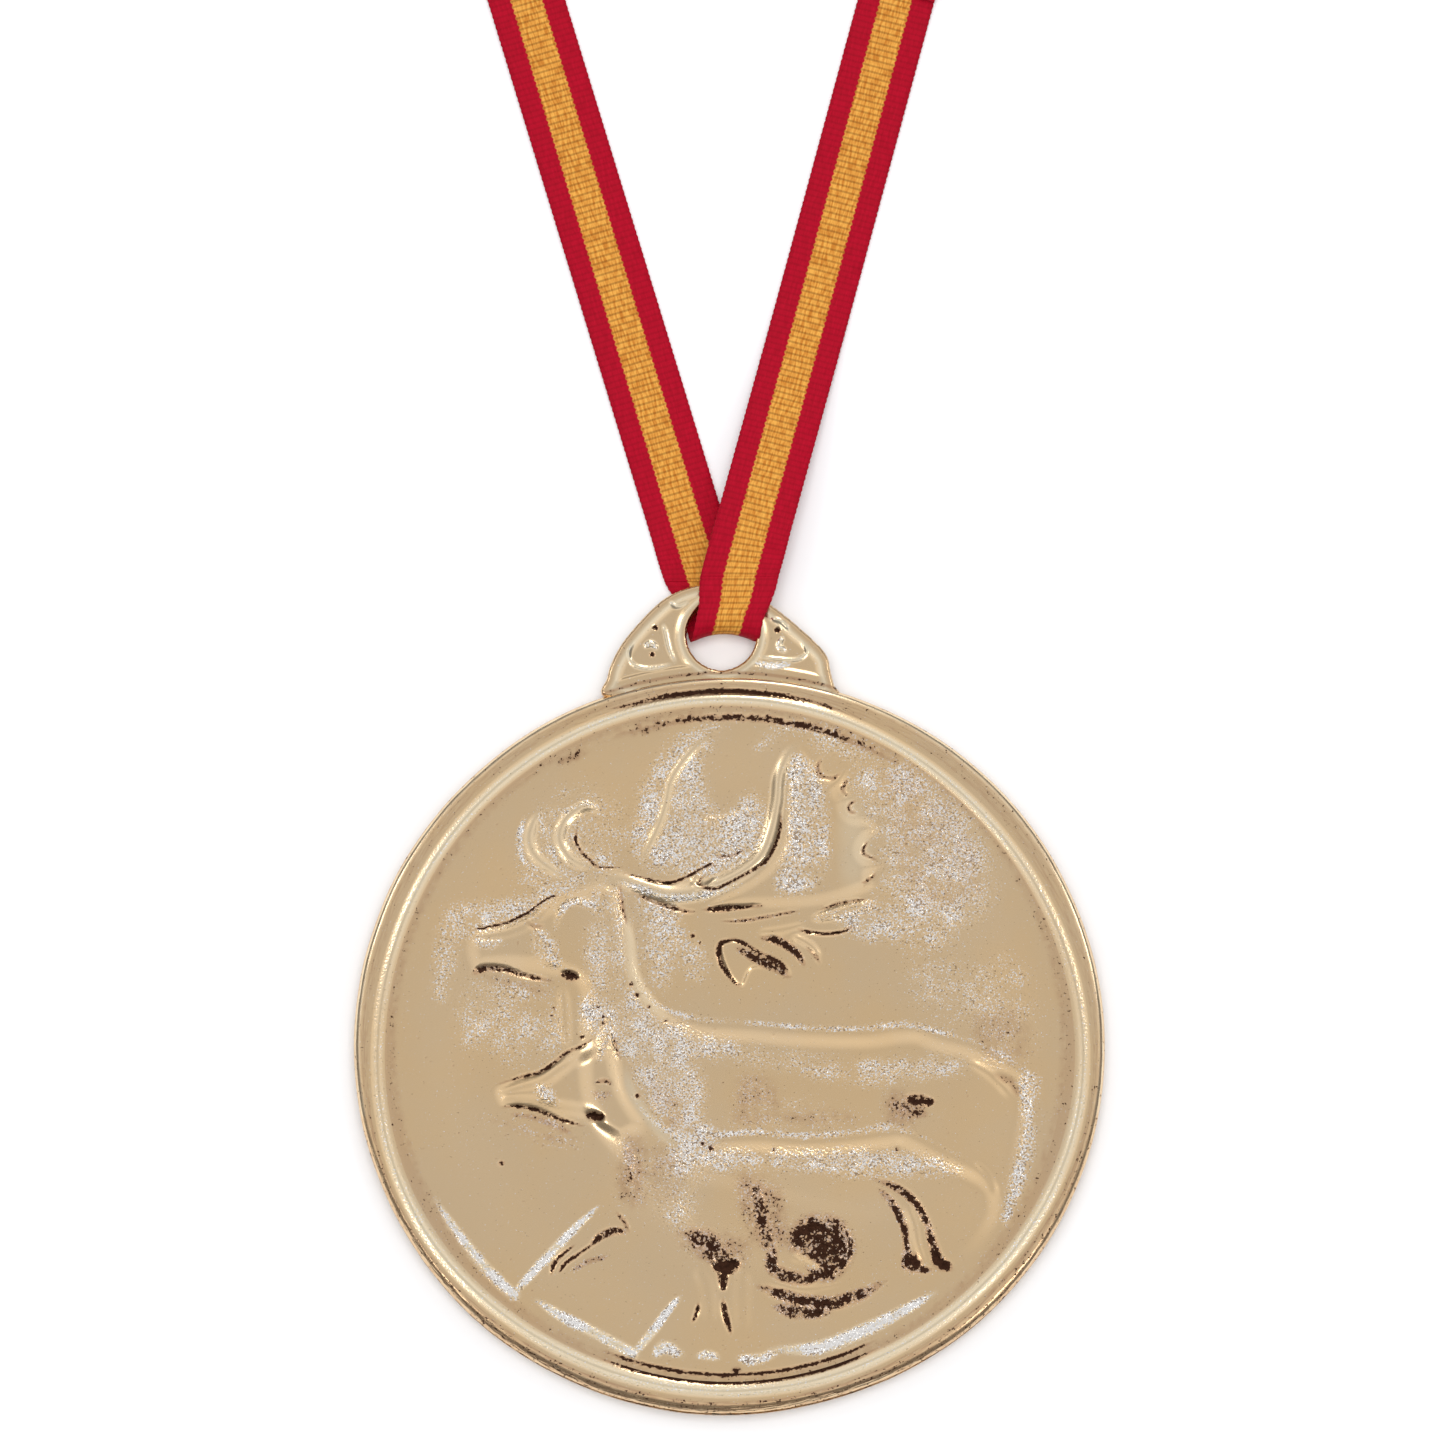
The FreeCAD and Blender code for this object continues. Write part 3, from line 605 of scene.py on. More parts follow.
DOE_STROKES = [
    (-.13, .8, 0, 0, [(-21.5, -3.85, .12), (-19.1, -3.1, .22), (-17.4, -2.65, .24),
     (-16.1, -1.75, .26), (-15, -.85, .24), (-13.5, -.2, .2), (-12.4, .5, .12)]),
    (.1, 0, 0, 0, [(-21.5, -4.6, .4), (-19.4, -3.9, .5), (-17.4, -3.3, .6), (-15.8, -2.2, .6),
     (-14.2, -1.2, .5)]),
    (.07, 0, 1, 0, [(-17.9, -3.8, .4), (-17, -4.6, 1.1), (-15.8, -5.6, .6)]),
    (-.12, .8, .5, 0, [(-12.4, -3.75, .14), (-11.4, -3.55, .3), (-10.8, -3.95, .18)]),
    (0, .3, .7, 0, [(-12.6, -4.6, .4), (-11.6, -5, .7), (-10.8, -4.6, .4)]),
    (-.15, .9, 0, 0, [(-21.2, -5.95, .12), (-19.6, -5.85, .24), (-18, -6.1, .26),
     (-16.4, -6.7, .24), (-14.8, -7.3, .22), (-13.2, -7.7, .12)]),
    (-.03, .45, .8, 0, [(-20.6, -6.5, .25), (-18, -6.9, .45), (-15.6, -7.8, .5),
     (-14.4, -8.4, .3)]),
    (-.22, 1, 0, 0, [(-13.2, -6.6, .3), (-12.3, -6.8, .6), (-11.4, -6.9, .35)]),
    # ear
    (.12, 0, .6, 0, [(-12.1, -.2, .4), (-11.4, 1.2, .8), (-10.7, 2.6, .4)]),
    (.07, 0, .8, 0, [(-12, -2, .3), (-11.6, -.4, .6), (-11.1, 1.2, .4)]),
    (-.12, .55, 0, 0, [(-10.7, 1, .12), (-10.35, -.4, .2), (-10, -1.6, .12)]),
    # neck ridge, chest
    (.06, 0, -1, .55, [(-9.5, -2.4, .4), (-9, -4.4, .6), (-7.8, -6.4, .65), (-6.4, -8.2, .6),
     (-4.6, -9.6, .5)]),
    (-.05, .34, .9, 0, [(-9.4, -9, .5), (-9, -11.4, 1.1), (-9.2, -14.2, .6)]),
    # flank hollows and legs, darkened with painted shade in the hollows
    (-.16, .8, .9, 0, [(-3.9, -17.6, .6), (-2.2, -18.5, 1.6), (-.8, -19.7, 1.4), (0, -20.8, .6)]),
    (-.26, 1, 0, 0, [(-1.6, -20.2, .4), (-.3, -20.7, 1.05), (1.3, -20.4, .5)]),
    (-.24, 1, 0, 0, [(-.4, -20.8, .7), (-.45, -22, .6), (-.4, -23, .2)]),
    (-.22, 1, 0, 0, [(-.5, -23.6, .2), (-.25, -25.2, .42), (.3, -27, .15)]),
    (-.16, .8, 0, 0, [(-2.7, -24, .15), (-2.9, -25, .3), (-3.3, -25.9, .15)]),
    (.11, 0, 0, 0, [(-3, -20.6, .8), (-1.9, -22.8, 1.2), (-1.6, -26.4, .9)]),
    (.11, 0, 0, 0, [(1.5, -20.8, .8), (1.3, -23.2, 1.3), (1.4, -27.2, .9)]),
    (-.12, .66, .9, 0, [(2.4, -12.8, .5), (3, -15.2, 1), (3.4, -17.6, 1.1), (4.2, -19.6, .9)]),
]
HIND_STROKES = [
    (-.1, .8, .9, 0, [(3.4, -20.6, .5), (5, -21.4, .9), (7.2, -21.9, .7), (8.9, -21.4, .4)]),
    (-.06, .66, 1, 0, [(4.2, -18.4, .4), (4, -20, .8), (4.4, -21.2, .5)]),
    (.12, -.9, 0, 0, [(5.8, -19.7, .4), (7.1, -20.3, .65), (8.4, -21, .4)]),
    (-.13, .76, 1, 0, [(2.6, -22.5, .35), (4.6, -23.2, .7), (7, -23.9, .9), (9.4, -24.1, .9),
     (12, -23.4, .8), (14.6, -22, .4)]),
    (-.05, .72, 1, 0, [(4, -24.4, .4), (6.4, -24.9, .9), (9.6, -24.9, .6)]),
    (.07, 0, 0, 0, [(3.2, -21.9, .3), (7, -22.8, .45), (11, -22.2, .3)]),
    # hind leg: two dark bands with a bright bone between
    (-.15, .86, .8, 0, [(13.4, -12.6, .3), (15.6, -13.5, .5), (17.3, -14.8, .5),
     (18.4, -16.8, .45), (18.9, -18.6, .6), (19.5, -20.2, .7), (20.6, -20.9, .3)]),
    (-.12, .76, 1, 0, [(13.8, -13.4, .3), (15.2, -14.9, .55), (16.2, -16.8, .5),
     (16.5, -18.8, .45), (16.7, -20.6, .8), (18, -21, .5), (19.4, -21.1, .3)]),
    (.12, 0, 0, 0, [(16.4, -14.8, .4), (17.2, -16.8, .6), (17.6, -18.8, .5), (18.4, -21, .2)]),
    (-.1, .9, 0, 0, [(16.4, -19.9, .6), (17.1, -20.2, 1), (17.9, -20.5, .6)]),
    (-.1, .9, 0, 0, [(18.9, -19.6, .5), (19.6, -20.4, .8), (20.8, -21, .4)]),
    (.1, 0, 0, 0, [(22.8, -10.9, .4), (24.2, -12.4, .6), (24.9, -14.2, .4)]),
]
# Hills, the lifted foreleg and the ground line near the lower rim; the hills carry painted
# highlight (pale).
GROUND_STROKES = [
    (.13, 0, 1.9, .9, [(-27.2, -14.4, .25), (-25, -17.6, .5), (-22.4, -20.8, .6),
     (-19.9, -23.2, .6), (-19.3, -23.4, .4)]),
    (.13, 0, 1.9, .9, [(-19.8, -23.3, .4), (-17.6, -20.8, .55), (-14.6, -17.6, .5),
     (-12, -15.1, .25)]),
    (.14, 0, 1.9, .9, [(-17.8, -23.8, .3), (-15.4, -25.3, .6), (-12.4, -26.8, .6), (-9, -28.6, .6),
     (-8.3, -28.9, .4)]),
    (.13, 0, 1.9, .9, [(-8.8, -28.9, .4), (-7, -26.8, .5), (-5.4, -24.6, .45),
     (-4.4, -23.5, .25)]),
    (-.16, .9, 0, 0, [(-16.4, -21.6, .15), (-15.9, -20.2, .3), (-14.2, -18.7, .16)]),
    (-.14, .85, 0, 0, [(-15.7, -21.4, .15), (-15, -20.4, .26), (-13.6, -19.4, .24),
     (-12.2, -18.4, .14)]),
    (-.14, .8, .8, 0, [(-12.9, -19, .2), (-11.8, -17.9, .5), (-10.4, -17.4, .5),
     (-9.2, -17.6, .3)]),
    (-.1, .7, 0, 0, [(-10.4, -15.6, .15), (-9.6, -16.6, .28), (-9.1, -17.6, .2)]),
    (0, .4, .9, 0, [(-14.6, -21.2, .3), (-12.8, -20.2, .4), (-11, -19.8, .3)]),
    (.12, 0, 1.8, .9, [(3.8, -28.4, .4), (8.4, -28.2, .8), (12.8, -26.5, .8), (16.4, -24.7, .6),
     (19.2, -23.1, .3)]),
    (.1, 0, 1.7, .7, [(-6.8, -29, .5), (-5.9, -28.2, .8), (-4.2, -28.9, .5)]),
    (.1, 0, 1.5, .6, [(-2.9, -29, .4), (-1.8, -28.9, .6), (-.8, -29.2, .4)]),
    (.1, 0, 1.6, .5, [(.9, -29.2, .4), (2.4, -29.3, .7), (4.8, -28.6, .4)]),
]
# A rough thin line where each back meets the field behind it.
BACK_LINES = [
    (.02, 0, .9, 0, [(-9.2, 8.6, .2), (-8.4, 5.9, .35), (-7.3, 4.3, .4), (-5.6, 3.1, .4),
     (-2.6, 2.3, .45), (2.7, 1.9, .4), (7, 1.5, .4), (12.4, 1.4, .4), (16.6, 1.8, .5),
     (19.8, 1, .35), (23.1, .1, .3), (26.6, -1.8, .3), (28.6, -3.9, .4), (28.4, -8, .4),
     (27, -13, .3)]),
    (.02, 0, .9, 0, [(-9.2, -4.6, .2), (-7.9, -6.3, .35), (-6.4, -7.6, .45), (-5, -8.3, .6),
     (-2.4, -8.5, .5), (2.7, -8.3, .45), (7, -8.6, .45), (11.3, -8.3, .5), (15, -7.8, .6),
     (18, -8.7, .3), (22.1, -10.8, .2)]),
]
# Arcs in the hollow of the doe's flank: reach, first and last angle, stain and painted shade.
FLANK_CENTRE = (8.9, -18.9)
FLANK_ARCS = [(2.4, -150, 60, .85), (2.1, -10, 110, -.3), (1.2, 120, 300, -.22)]

# A patch: how soft its edge is, its stain and painted shade, and its grain, then its outline.
PATCHES = [
    # the field round both heads and between the antlers
    (1.5, 0, .55, [(-19.6, 14.6), (-16.4, 23.4), (-10.4, 23), (-8.8, 18.4), (-12.6, 14.6)]),
    (1, 0, .75, [(-26.4, 12.4), (-20, 13.6), (-14.6, 16.6), (-12.6, 15.4), (-19, 11.4),
     (-24.6, 9.6), (-26, 4), (-27.4, 5.6)]),
    (1.6, 0, .6, [(-23.6, 6), (-16.4, 5.2), (-15.6, -.6), (-21.6, -2.2), (-25.4, 1.6)]),
    (1.2, 0, .85, [(-9, 17.2), (-8, 24), (-4.8, 28.8), (-.6, 29.8), (-2.2, 26.2), (-1, 21.8),
     (2.6, 23.4), (4.2, 19.2), (2.2, 16.6), (-3.4, 15.6)]),
    (1, 0, .8, [(2.6, 27.4), (5.2, 30), (12.2, 29.2), (12.6, 26.6), (8.4, 27.2), (6.4, 28.8)]),
    (.8, 0, .95, [(5.4, 26.6), (8.8, 25.2), (9.2, 15.8), (4.4, 14.2), (5.6, 19.6)]),
    (2, 0, .8, [(12.6, 27.6), (20.6, 23.6), (24.8, 15), (19, 8.6), (14, 11.6), (14.6, 17.2),
     (12, 22.4)]),
    (1, 0, .9, [(10, 12), (15, 13.6), (17.6, 10.6), (13.2, 9.4)]),
    (2, 0, .5, [(16, 6.6), (22, 8.4), (28.4, 6.4), (27.8, -1), (20, 1.4)]),
    # neck and chest
    (1.2, 0, .75, [(-12.4, 15.4), (-9.8, 14.8), (-9.4, 6.2), (-11.8, 3.4), (-13.4, 8)]),
    (1, 0, .9, [(-13.4, 4.2), (-8.6, 5.4), (-6.2, 1.4), (-8.4, -1.8), (-13.2, 1.2)]),
    (1.2, 0, .7, [(-8.8, 14.4), (-5.6, 13.4), (-3.6, 9.4), (-6.2, 4.8), (-8.4, 8.2)]),
    (1, 0, .6, [(-5.6, 10.4), (-1.6, 8.4), (-2.6, 5.6), (-5.4, 7.4)]),
    (1.2, 0, .85, [(-8.6, .6), (-3.4, 1.6), (-2.2, -6.4), (-4, -8.4), (-8.4, -4.6)]),
    (1.2, 0, .8, [(-5.6, -7.4), (-1.4, -7.6), (-1.8, -12.6), (-5.4, -12.2)]),
    (1.2, 0, .6, [(-6.4, -13), (-3, -13.4), (-3.4, -16.6), (-6.6, -16.2)]),
    # under the two backs, where the slope turns flat
    (1, 0, .85, [(-3, .6), (4.4, -.6), (13, -1.6), (20, -1.2), (22, -2.6), (13, -4), (4, -2.4),
     (-3, -1.2)]),
    (.9, 0, .9, [(-4, -10), (6, -9.9), (14, -10), (20, -10.8), (21, -12.2), (12, -12.4),
     (4, -11.8), (-4.4, -12)]),
    (1.4, 0, .5, [(.6, -6), (6, -5), (9.6, -6.4), (7, -8), (1, -7.8)]),
    (.7, 0, .95, [(27, -3), (28.9, -3.6), (28.4, -9.4), (26.8, -15), (25.4, -17), (25.6, -14),
     (27.2, -8)]),
    # specked with brown
    (1.2, .24, .5, [(1, -3), (4.4, -3.6), (4.6, -7), (.6, -7.6)]),
    (1.2, .24, .5, [(5.4, -6.2), (11.6, -6.4), (11.4, -7.6), (5.6, -7.8)]),
    (1.2, .34, .5, [(14.6, -4.6), (17.2, -4.9), (17.4, -7.6), (14.8, -7.4)]),
    (1.2, .2, .5, [(22.6, 2.8), (27.6, 3.4), (27.6, -2), (23.4, -1.2)]),
    (1.2, .16, .5, [(14, 26), (21, 22.6), (24, 14), (17, 12.6), (15, 20)]),
    (1.2, .3, .5, [(-9.6, -8.8), (-7.4, -9.6), (-7.6, -14.8), (-10.2, -14.2)]),
    (1.2, .2, .5, [(-7.4, -9.6), (-4.4, -10.4), (-4.6, -14.6), (-7.4, -14.2)]),
    (1.2, .2, .5, [(-8, -3), (-5, -4.2), (-3, -8), (-6, -7.6)]),
    (1.2, .36, .5, [(.8, -12.4), (4.8, -13.6), (5.6, -18.6), (2.2, -18.4)]),
    (1.2, .34, .5, [(-4.6, -17), (1.6, -18.2), (1.2, -20.6), (-3.6, -19.4)]),
    (1.2, .22, .5, [(-22.6, -6.8), (-14, -8.6), (-15.4, -9.8), (-20.4, -8)]),
    (1.2, .26, .5, [(-23, 6.8), (-16.6, 5.4), (-17.2, 4.4), (-22.2, 5.8)]),
]


def buck_fade(x, y):
    """The buck's body sinks into the field towards its belly."""
    return 1 - smoothstep((-4.0 - y) / 14.0)


def doe_fade(x, y):
    """The doe's body sinks into the field towards its legs."""
    return 1 - smoothstep((-11.5 - y) / 12.0)


def chest_spread(x, y):
    """The doe's chest rises much more gently than its back."""
    return 3.5 * smoothstep((-7.2 - y) / 3.0) * smoothstep((0.0 - x) / 6.0)


def carve_buck(face):
    """Head, neck and back of the buck."""
    face.figure(BUCK_BODY, 0.42, 2.0, buck_fade)
    face.strokes(BUCK_STROKES)


def carve_antlers(face):
    """Both antlers: tines, beams, the palm and its fingers."""
    face.figure(PALM, 0.30, 1.5)
    face.figure(FINGERS, 0.22, 0.5)
    face.patch(PALM_CREST, 2.6, rise=0.30)
    face.strokes(ANTLER_STROKES)


def carve_doe(face):
    """Head, neck and body of the doe in front, with the hollow of its flank."""
    face.figure(DOE_BODY, 0.52, 2.0, doe_fade, chest_spread)
    face.strokes(DOE_STROKES)
    face.figure(FLANK_HOLLOW, -0.30, 1.6)
    face.patch(FLANK_SHADE_AND_STAIN, 0.9, stain=0.80, grain=1.0)
    for reach, begin, end, stain in FLANK_ARCS:
        arc = [(FLANK_CENTRE[0] + reach * math.cos(turn),
                FLANK_CENTRE[1] + reach * math.sin(turn), 0.42)
               for turn in np.radians(np.linspace(begin, end, 9))]
        face.stroke(arc, -0.10 * stain, stain=stain, grain=1.0)
    face.strokes(HIND_STROKES)


PITS = [
    (-9, 5.5, .26), (-8.5, 4.5, .32), (-7.4, 3.4, .2), (-5.8, 2.1, .18), (-2.4, -9.3, .25),
    (-1.6, -9.7, .34), (4.2, -9.9, .16), (15.6, -9.9, .2), (-8.4, -4.9, .3), (-11.6, 2.5, .2),
    (-11.6, 1.9, .22), (-12.1, 3.4, .16), (-16.2, 3.3, .15), (-16.4, 2.6, .16),
    (-3.3, 10.1, .28), (-2.6, 9.4, .16), (-21, -11.1, .3), (-13.6, .6, .24),
]
TINY_PITS, PITTED_RADIUS = 150, 30.0


def scatter_pits(face):
    """Casting pits along the foot of the two necks, and tiny ones all over."""
    # Each pit is sunk and darkened with painted shade.
    for x, y, r in PITS:
        face.stroke([(x, y, r), (x + .05, y - .05, r)], -0.16, stain=0.9, round_ends=False)
    random = np.random.default_rng(7)
    for _ in range(TINY_PITS):
        angle, radius = random.uniform(0, 2 * math.pi), PITTED_RADIUS * math.sqrt(random.uniform())
        x, y, r = radius * math.cos(angle), radius * math.sin(angle), random.uniform(.08, .17)
        face.stroke([(x, y, r), (x + .03, y + .02, r)], -0.05, stain=0.35, round_ends=False)


def rim_foot(face):
    """The corner between field and wall, darkened at the top and along the bottom: painted shade
    in the corner, partly patina.
    """
    radius = np.hypot(face.x, face.y)
    angle = np.degrees(np.arctan2(face.y, face.x))
    ragged = noise(face.x, face.y, 0.36, 31)
    top = bell(angle, 84, 22)
    line = bell(radius - 0.18 * ragged, 30.50, 0.34)
    face.height -= 0.14 * line * top
    face.darken(line * np.clip(top * 1.6 - 0.12, 0, 1) * (0.74 + 0.3 * ragged))
    face.grain = np.maximum(face.grain, 0.5 * line * top)
    left = bell(angle, 104, 4) + 0.8 * bell(angle, 118.5, 3)
    specks = bell(radius, 30.5, 0.6) * left
    face.darken(specks * np.clip(0.5 + 0.4 * ragged, 0, 1))
    face.darken(bell(radius, 31.2, 0.6) * (0.22 + 0.09 * ragged))
    bottom = smoothstep((27 - np.abs(angle + 88)) / 9)
    groove = bell(radius, 30.72, 0.17) * bottom
    face.height -= 0.10 * groove
    face.darken(groove * (1.0 + 0.35 * ragged))
    notch = bell(face.x, 0.75, 0.4) * bell(face.y, -30.35, 0.3)
    face.darken(notch)


def build_face():
    """The sunk field with its figures, as one closed block."""
    reach = FIELD_RADIUS + 0.6
    face = Relief((-reach, -reach), (reach, reach), FACE_PITCH)
    radius = np.hypot(face.x, face.y)
    dish = smoothstep((radius - DISH_FROM) / (FIELD_RADIUS - DISH_FROM))
    face.height += DISH_RISE * dish
    face.height += 0.030 * noise(face.x, face.y, 9.0, 1) + 0.012 * noise(face.x, face.y, 3.5, 2)
    for soft, stain, grain, outline in PATCHES:
        face.patch(outline, soft, stain, grain)
    carve_buck(face)
    carve_antlers(face)
    carve_doe(face)
    face.strokes(GROUND_STROKES)
    face.strokes(BACK_LINES)
    blurred = sum(noise(face.x, face.y, s, n) for s, n in ((1.6, 11), (0.9, 12))) * 0.5
    face.grain = np.clip(face.grain * (1.0 + 0.8 * blurred), 0, 2)
    face.height += face.grain * 0.006 * noise(face.x, face.y, 0.42, 22)
    speck = noise(face.x, face.y, 0.55, 23) * 0.6 + noise(face.x, face.y, 0.36, 24) * 0.6
    face.stain = np.clip(face.stain * (0.95 + 0.5 * speck), 0, 1)
    face.height -= 0.05 * face.stain * (0.5 + 0.5 * speck)
    scatter_pits(face)
    rim_foot(face)
    return face.block("medal_face", FIELD_RADIUS - radius, FIELD_HEIGHT, SEAT, solid_bottom=False)


medal_face = build_face()


# ---------------------------------------------------------------- rim, side and back
DISC_RADIUS, LARGEST_RADIUS = 34.97, 34.99
BEAD_RADIUS = 32.08
BACK_SUNK = 0.14
SECTORS = 780


def rim_profile():
    """Half section from inside the wall, over the bead and flange, round to the back."""
    wall_and_bead = spline([
        (30.90, SEAT), (30.94, 2.20), (31.05, 2.60), (31.24, 2.67), (31.40, 2.69),
        (31.58, 2.74), (31.78, 2.81), (31.96, 2.868), (BEAD_RADIUS, 2.88), (32.20, 2.868),
        (32.38, 2.81), (32.58, 2.74), (32.76, 2.695), (32.98, 2.69), (33.36, 2.69),
        (33.80, 2.69), (34.16, 2.67), (34.48, 2.59), (34.72, 2.44), (34.88, 2.22),
    ], per_span=4)
    side = [(DISC_RADIUS - 0.04 * abs(z - 1.3), z) for z in np.linspace(2.1, 0.75, 16)]
    back = spline([(34.90, 0.60), (34.74, 0.32), (34.45, 0.10), (34.05, 0.01), (33.4, 0.0),
                   (32.6, 0.0), (32.3, 0.04), (32.05, 0.11), (31.6, BACK_SUNK)], per_span=3)
    middle = [(r, BACK_SUNK) for r in (30.0, 27.0, 23.0, 18.0, 12.0, 6.0)]
    return np.concatenate([wall_and_bead, side, back, middle])


def rim_faces(rows):
    """Faces of the turned part, with a fan of triangles that closes it at each end."""
    faces = grid_faces(rows, SECTORS, wrap=True)[:, ::-1].tolist()
    top_centre, back_centre = rows * SECTORS, rows * SECTORS + 1
    last = (rows - 1) * SECTORS
    for k in range(SECTORS):
        following = (k + 1) % SECTORS
        faces.append([top_centre, k, following])
        faces.append([back_centre, last + following, last + k])
    return faces


def build_rim():
    """The turned part of the casting, a little uneven, closed under the field and behind."""
    profile = rim_profile()
    angle = np.linspace(0, 2 * math.pi, SECTORS, endpoint=False)[None, :]
    degrees = np.degrees(angle)
    radius, height = profile[:, :1], profile[:, 1:]
    rows = np.arange(len(profile))[:, None]
    cx, cy = np.cos(angle), np.sin(angle)
    outer = smoothstep((radius - 33.0) / 1.5)
    top_side = (height > 0.6).astype(float)

    def around(centre, spread):
        """1 at an angle, and down to nothing in about two spreads on either side."""
        return bell((degrees - centre + 180) % 360 - 180, 0, spread)

    # how far the bead lies off centre, and how far the outline falls short of the full radius
    drift = 0.15 + 0.80 * around(-152, 26) + 0.85 * around(-12, 30) - 0.35 * around(48, 26)
    drifting = smoothstep((radius - 30.95) / 0.8) * (1 - smoothstep((radius - 32.6) / 2.2))
    shrink = 0.10 + 0.36 * cy ** 2 - 0.12 * cx + 0.25 * around(-72, 18)
    shrinking = smoothstep((radius - 32.9) / 1.9)
    wobble = 0.05 * noise(9 * cx, 9 * cy, 3.1, 41) + 0.025 * noise(30 * cx, 30 * cy, 3.3, 42)
    lower = np.clip(-cy, 0, 1) ** 2
    lower_left = bell(degrees, 232, 34)
    streak = noise(rows, degrees, 1.05, 43) + 0.6 * noise(rows, 7 + degrees / 14, 1.0, 44)
    streaked = outer * top_side * np.clip(0.25 + lower + lower_left, 0, 1)
    r = radius + outer * wobble - 0.03 * streaked * np.abs(streak)
    r = r + drift * drifting * top_side - np.clip(shrink, 0, 1) * shrinking
    r = np.minimum(r, LARGEST_RADIUS)

    # the flange falls away below, and a groove runs along the bead above and below
    upper = around(91, 15)
    groove = bell(radius, 32.84, 0.30) * top_side
    from_below = np.abs((degrees + 88 + 180) % 360 - 180)
    lower_line = bell(radius, 31.36, 0.17) * top_side * smoothstep((27 - from_below) / 9)
    z = height - 0.42 * lower * top_side * smoothstep((radius - 33.1) / 2.4) * (height > 2.0)
    z = z + 0.008 * noise(12 * cx, 12 * cy, 2.0, 45) * top_side
    z = z - 0.16 * groove * upper - 0.10 * lower_line
    points = np.stack([r * cx, r * cy, z], axis=-1).reshape(-1, 3)
    points = np.concatenate([points, [(0, 0, SEAT), (0, 0, BACK_SUNK)]])
    piece = mesh_piece("medal_rim", points, rim_faces(len(profile)))

    ragged = noise(60 * cx + rows * 0.6, 60 * cy, 0.9, 46)
    flange = smoothstep((radius - 32.75) / 0.5) * top_side
    # The flange darker towards the bottom.
    darkening = np.clip(0.50 + 0.50 * np.clip(-cy, 0, 1) + 0.1 * lower_left, 0, 0.82)
    side = (height < 2.3) * (height > 0.2)
    # Painted shade in the groove outside the bead at the top, along the line at the bead's inner
    # foot below and on the inner wall; the flange is darker towards the bottom and along its
    # streaks, and the side is darker.
    stain = groove * np.clip(1.35 * upper + 0.3 * ragged * (upper > 0.04), 0, 1)
    for amount in (flange * darkening * np.clip(0.22 * streak + 0.36, 0.20, 0.56),
                   lower_line * (1.0 + 0.4 * ragged),
                   0.24 * (radius < 31.5) * top_side,
                   side * np.clip(0.26 + 0.12 * streak, 0, 0.42)):
        stain = np.maximum(stain, amount)
    # Painted highlight: a pale band along the bead and a pale line along the outer edge, weaker at
    # some sides.
    on_bead = np.exp(-((radius - BEAD_RADIUS) / (0.48 - 0.08 * cy)) ** 4) * top_side
    patchy = noise(20 * cx + rows * 0.3, 20 * cy, 1.7, 47)
    grain = on_bead * (0.30 + 0.3 * patchy)
    pale = on_bead * (1 - 0.65 * around(180, 20) - 0.7 * around(12, 20)) * (0.9 + 0.15 * patchy)
    pale = pale + 0.8 * bell(radius, 34.62, 0.26) * top_side * (0.4 + 0.6 * (cy > -0.2))
    add_layers(piece, 2, stain=stain, grain=np.clip(grain, 0, 1), pale=np.clip(pale, 0, 1))
    return piece


# ---------------------------------------------------------------- the lug
LUG_OUTLINE = [
    (-11.5, 32.6), (-11.3, 34.2), (-10.9, 35.6), (-9.9, 37.5), (-8.2, 39.6), (-6.5, 41.3),
    (-5.2, 42.2), (-3.8, 42.8), (-2.2, 43.15), (-.6, 43.3), (1, 43), (2.6, 42.2), (4.1, 41.1),
    (5.4, 40.1), (6.8, 38.9), (8.4, 37.4), (9.3, 36.2), (9.6, 34.8), (9.9, 33.6), (10.1, 32.6),
    (5, 32.2), (-6, 32.2),
]
HOLE_CENTRE, HOLE_RADIUS = (-0.6, 38.28), 3.27
LUG_TOP, LUG_BOTTOM = 2.2, 0.88
LUG_PITCH, LUG_ROUNDING, LUG_RISE_LIMIT = 0.11, 0.34, 0.37
# The scrolls of both side panels, as strokes, with painted highlight (pale) along them.
LUG_STROKES = [
    (.14, 0, .3, .8, [(-6.1, 39.4, .25), (-5.8, 38.5, .34), (-5.5, 37.1, .34), (-4.9, 35.7, .3)]),
    (.18, 0, .8, .8, [(-7.9, 37.2, .3), (-7.2, 37.5, .5), (-6.5, 37, .3)]),
    (.14, 0, .3, .8, [(-8.8, 37.7, .2), (-9.3, 36.6, .3), (-8.9, 35.6, .32), (-7.8, 35.2, .32),
     (-6.4, 35.3, .3), (-5.2, 35.6, .25)]),
    (.14, 0, .3, .8, [(-5.5, 41.5, .25), (-4.7, 41, .34), (-3.6, 41.5, .25)]),
    (.18, 0, .8, .8, [(5.2, 38.2, .25), (4.8, 37.3, .5), (5.5, 36.7, .35)]),
    (.14, 0, .3, .8, [(6.9, 37.7, .2), (7.4, 36.7, .3), (6.4, 36, .34), (4.4, 36.1, .3),
     (3, 36.3, .22)]),
    (.14, 0, .3, .8, [(4, 39.9, .25), (5, 39.6, .34), (5.8, 38.8, .25)]),
    (.06, 0, 1.4, .8, [(2.4, 35.7, .3), (4.2, 35.4, .5), (6, 35.6, .3)]),
]
LUG_PITS = [(-6.8, 39, .32), (-7.1, 36.5, .32), (4.6, 38.8, .36)]


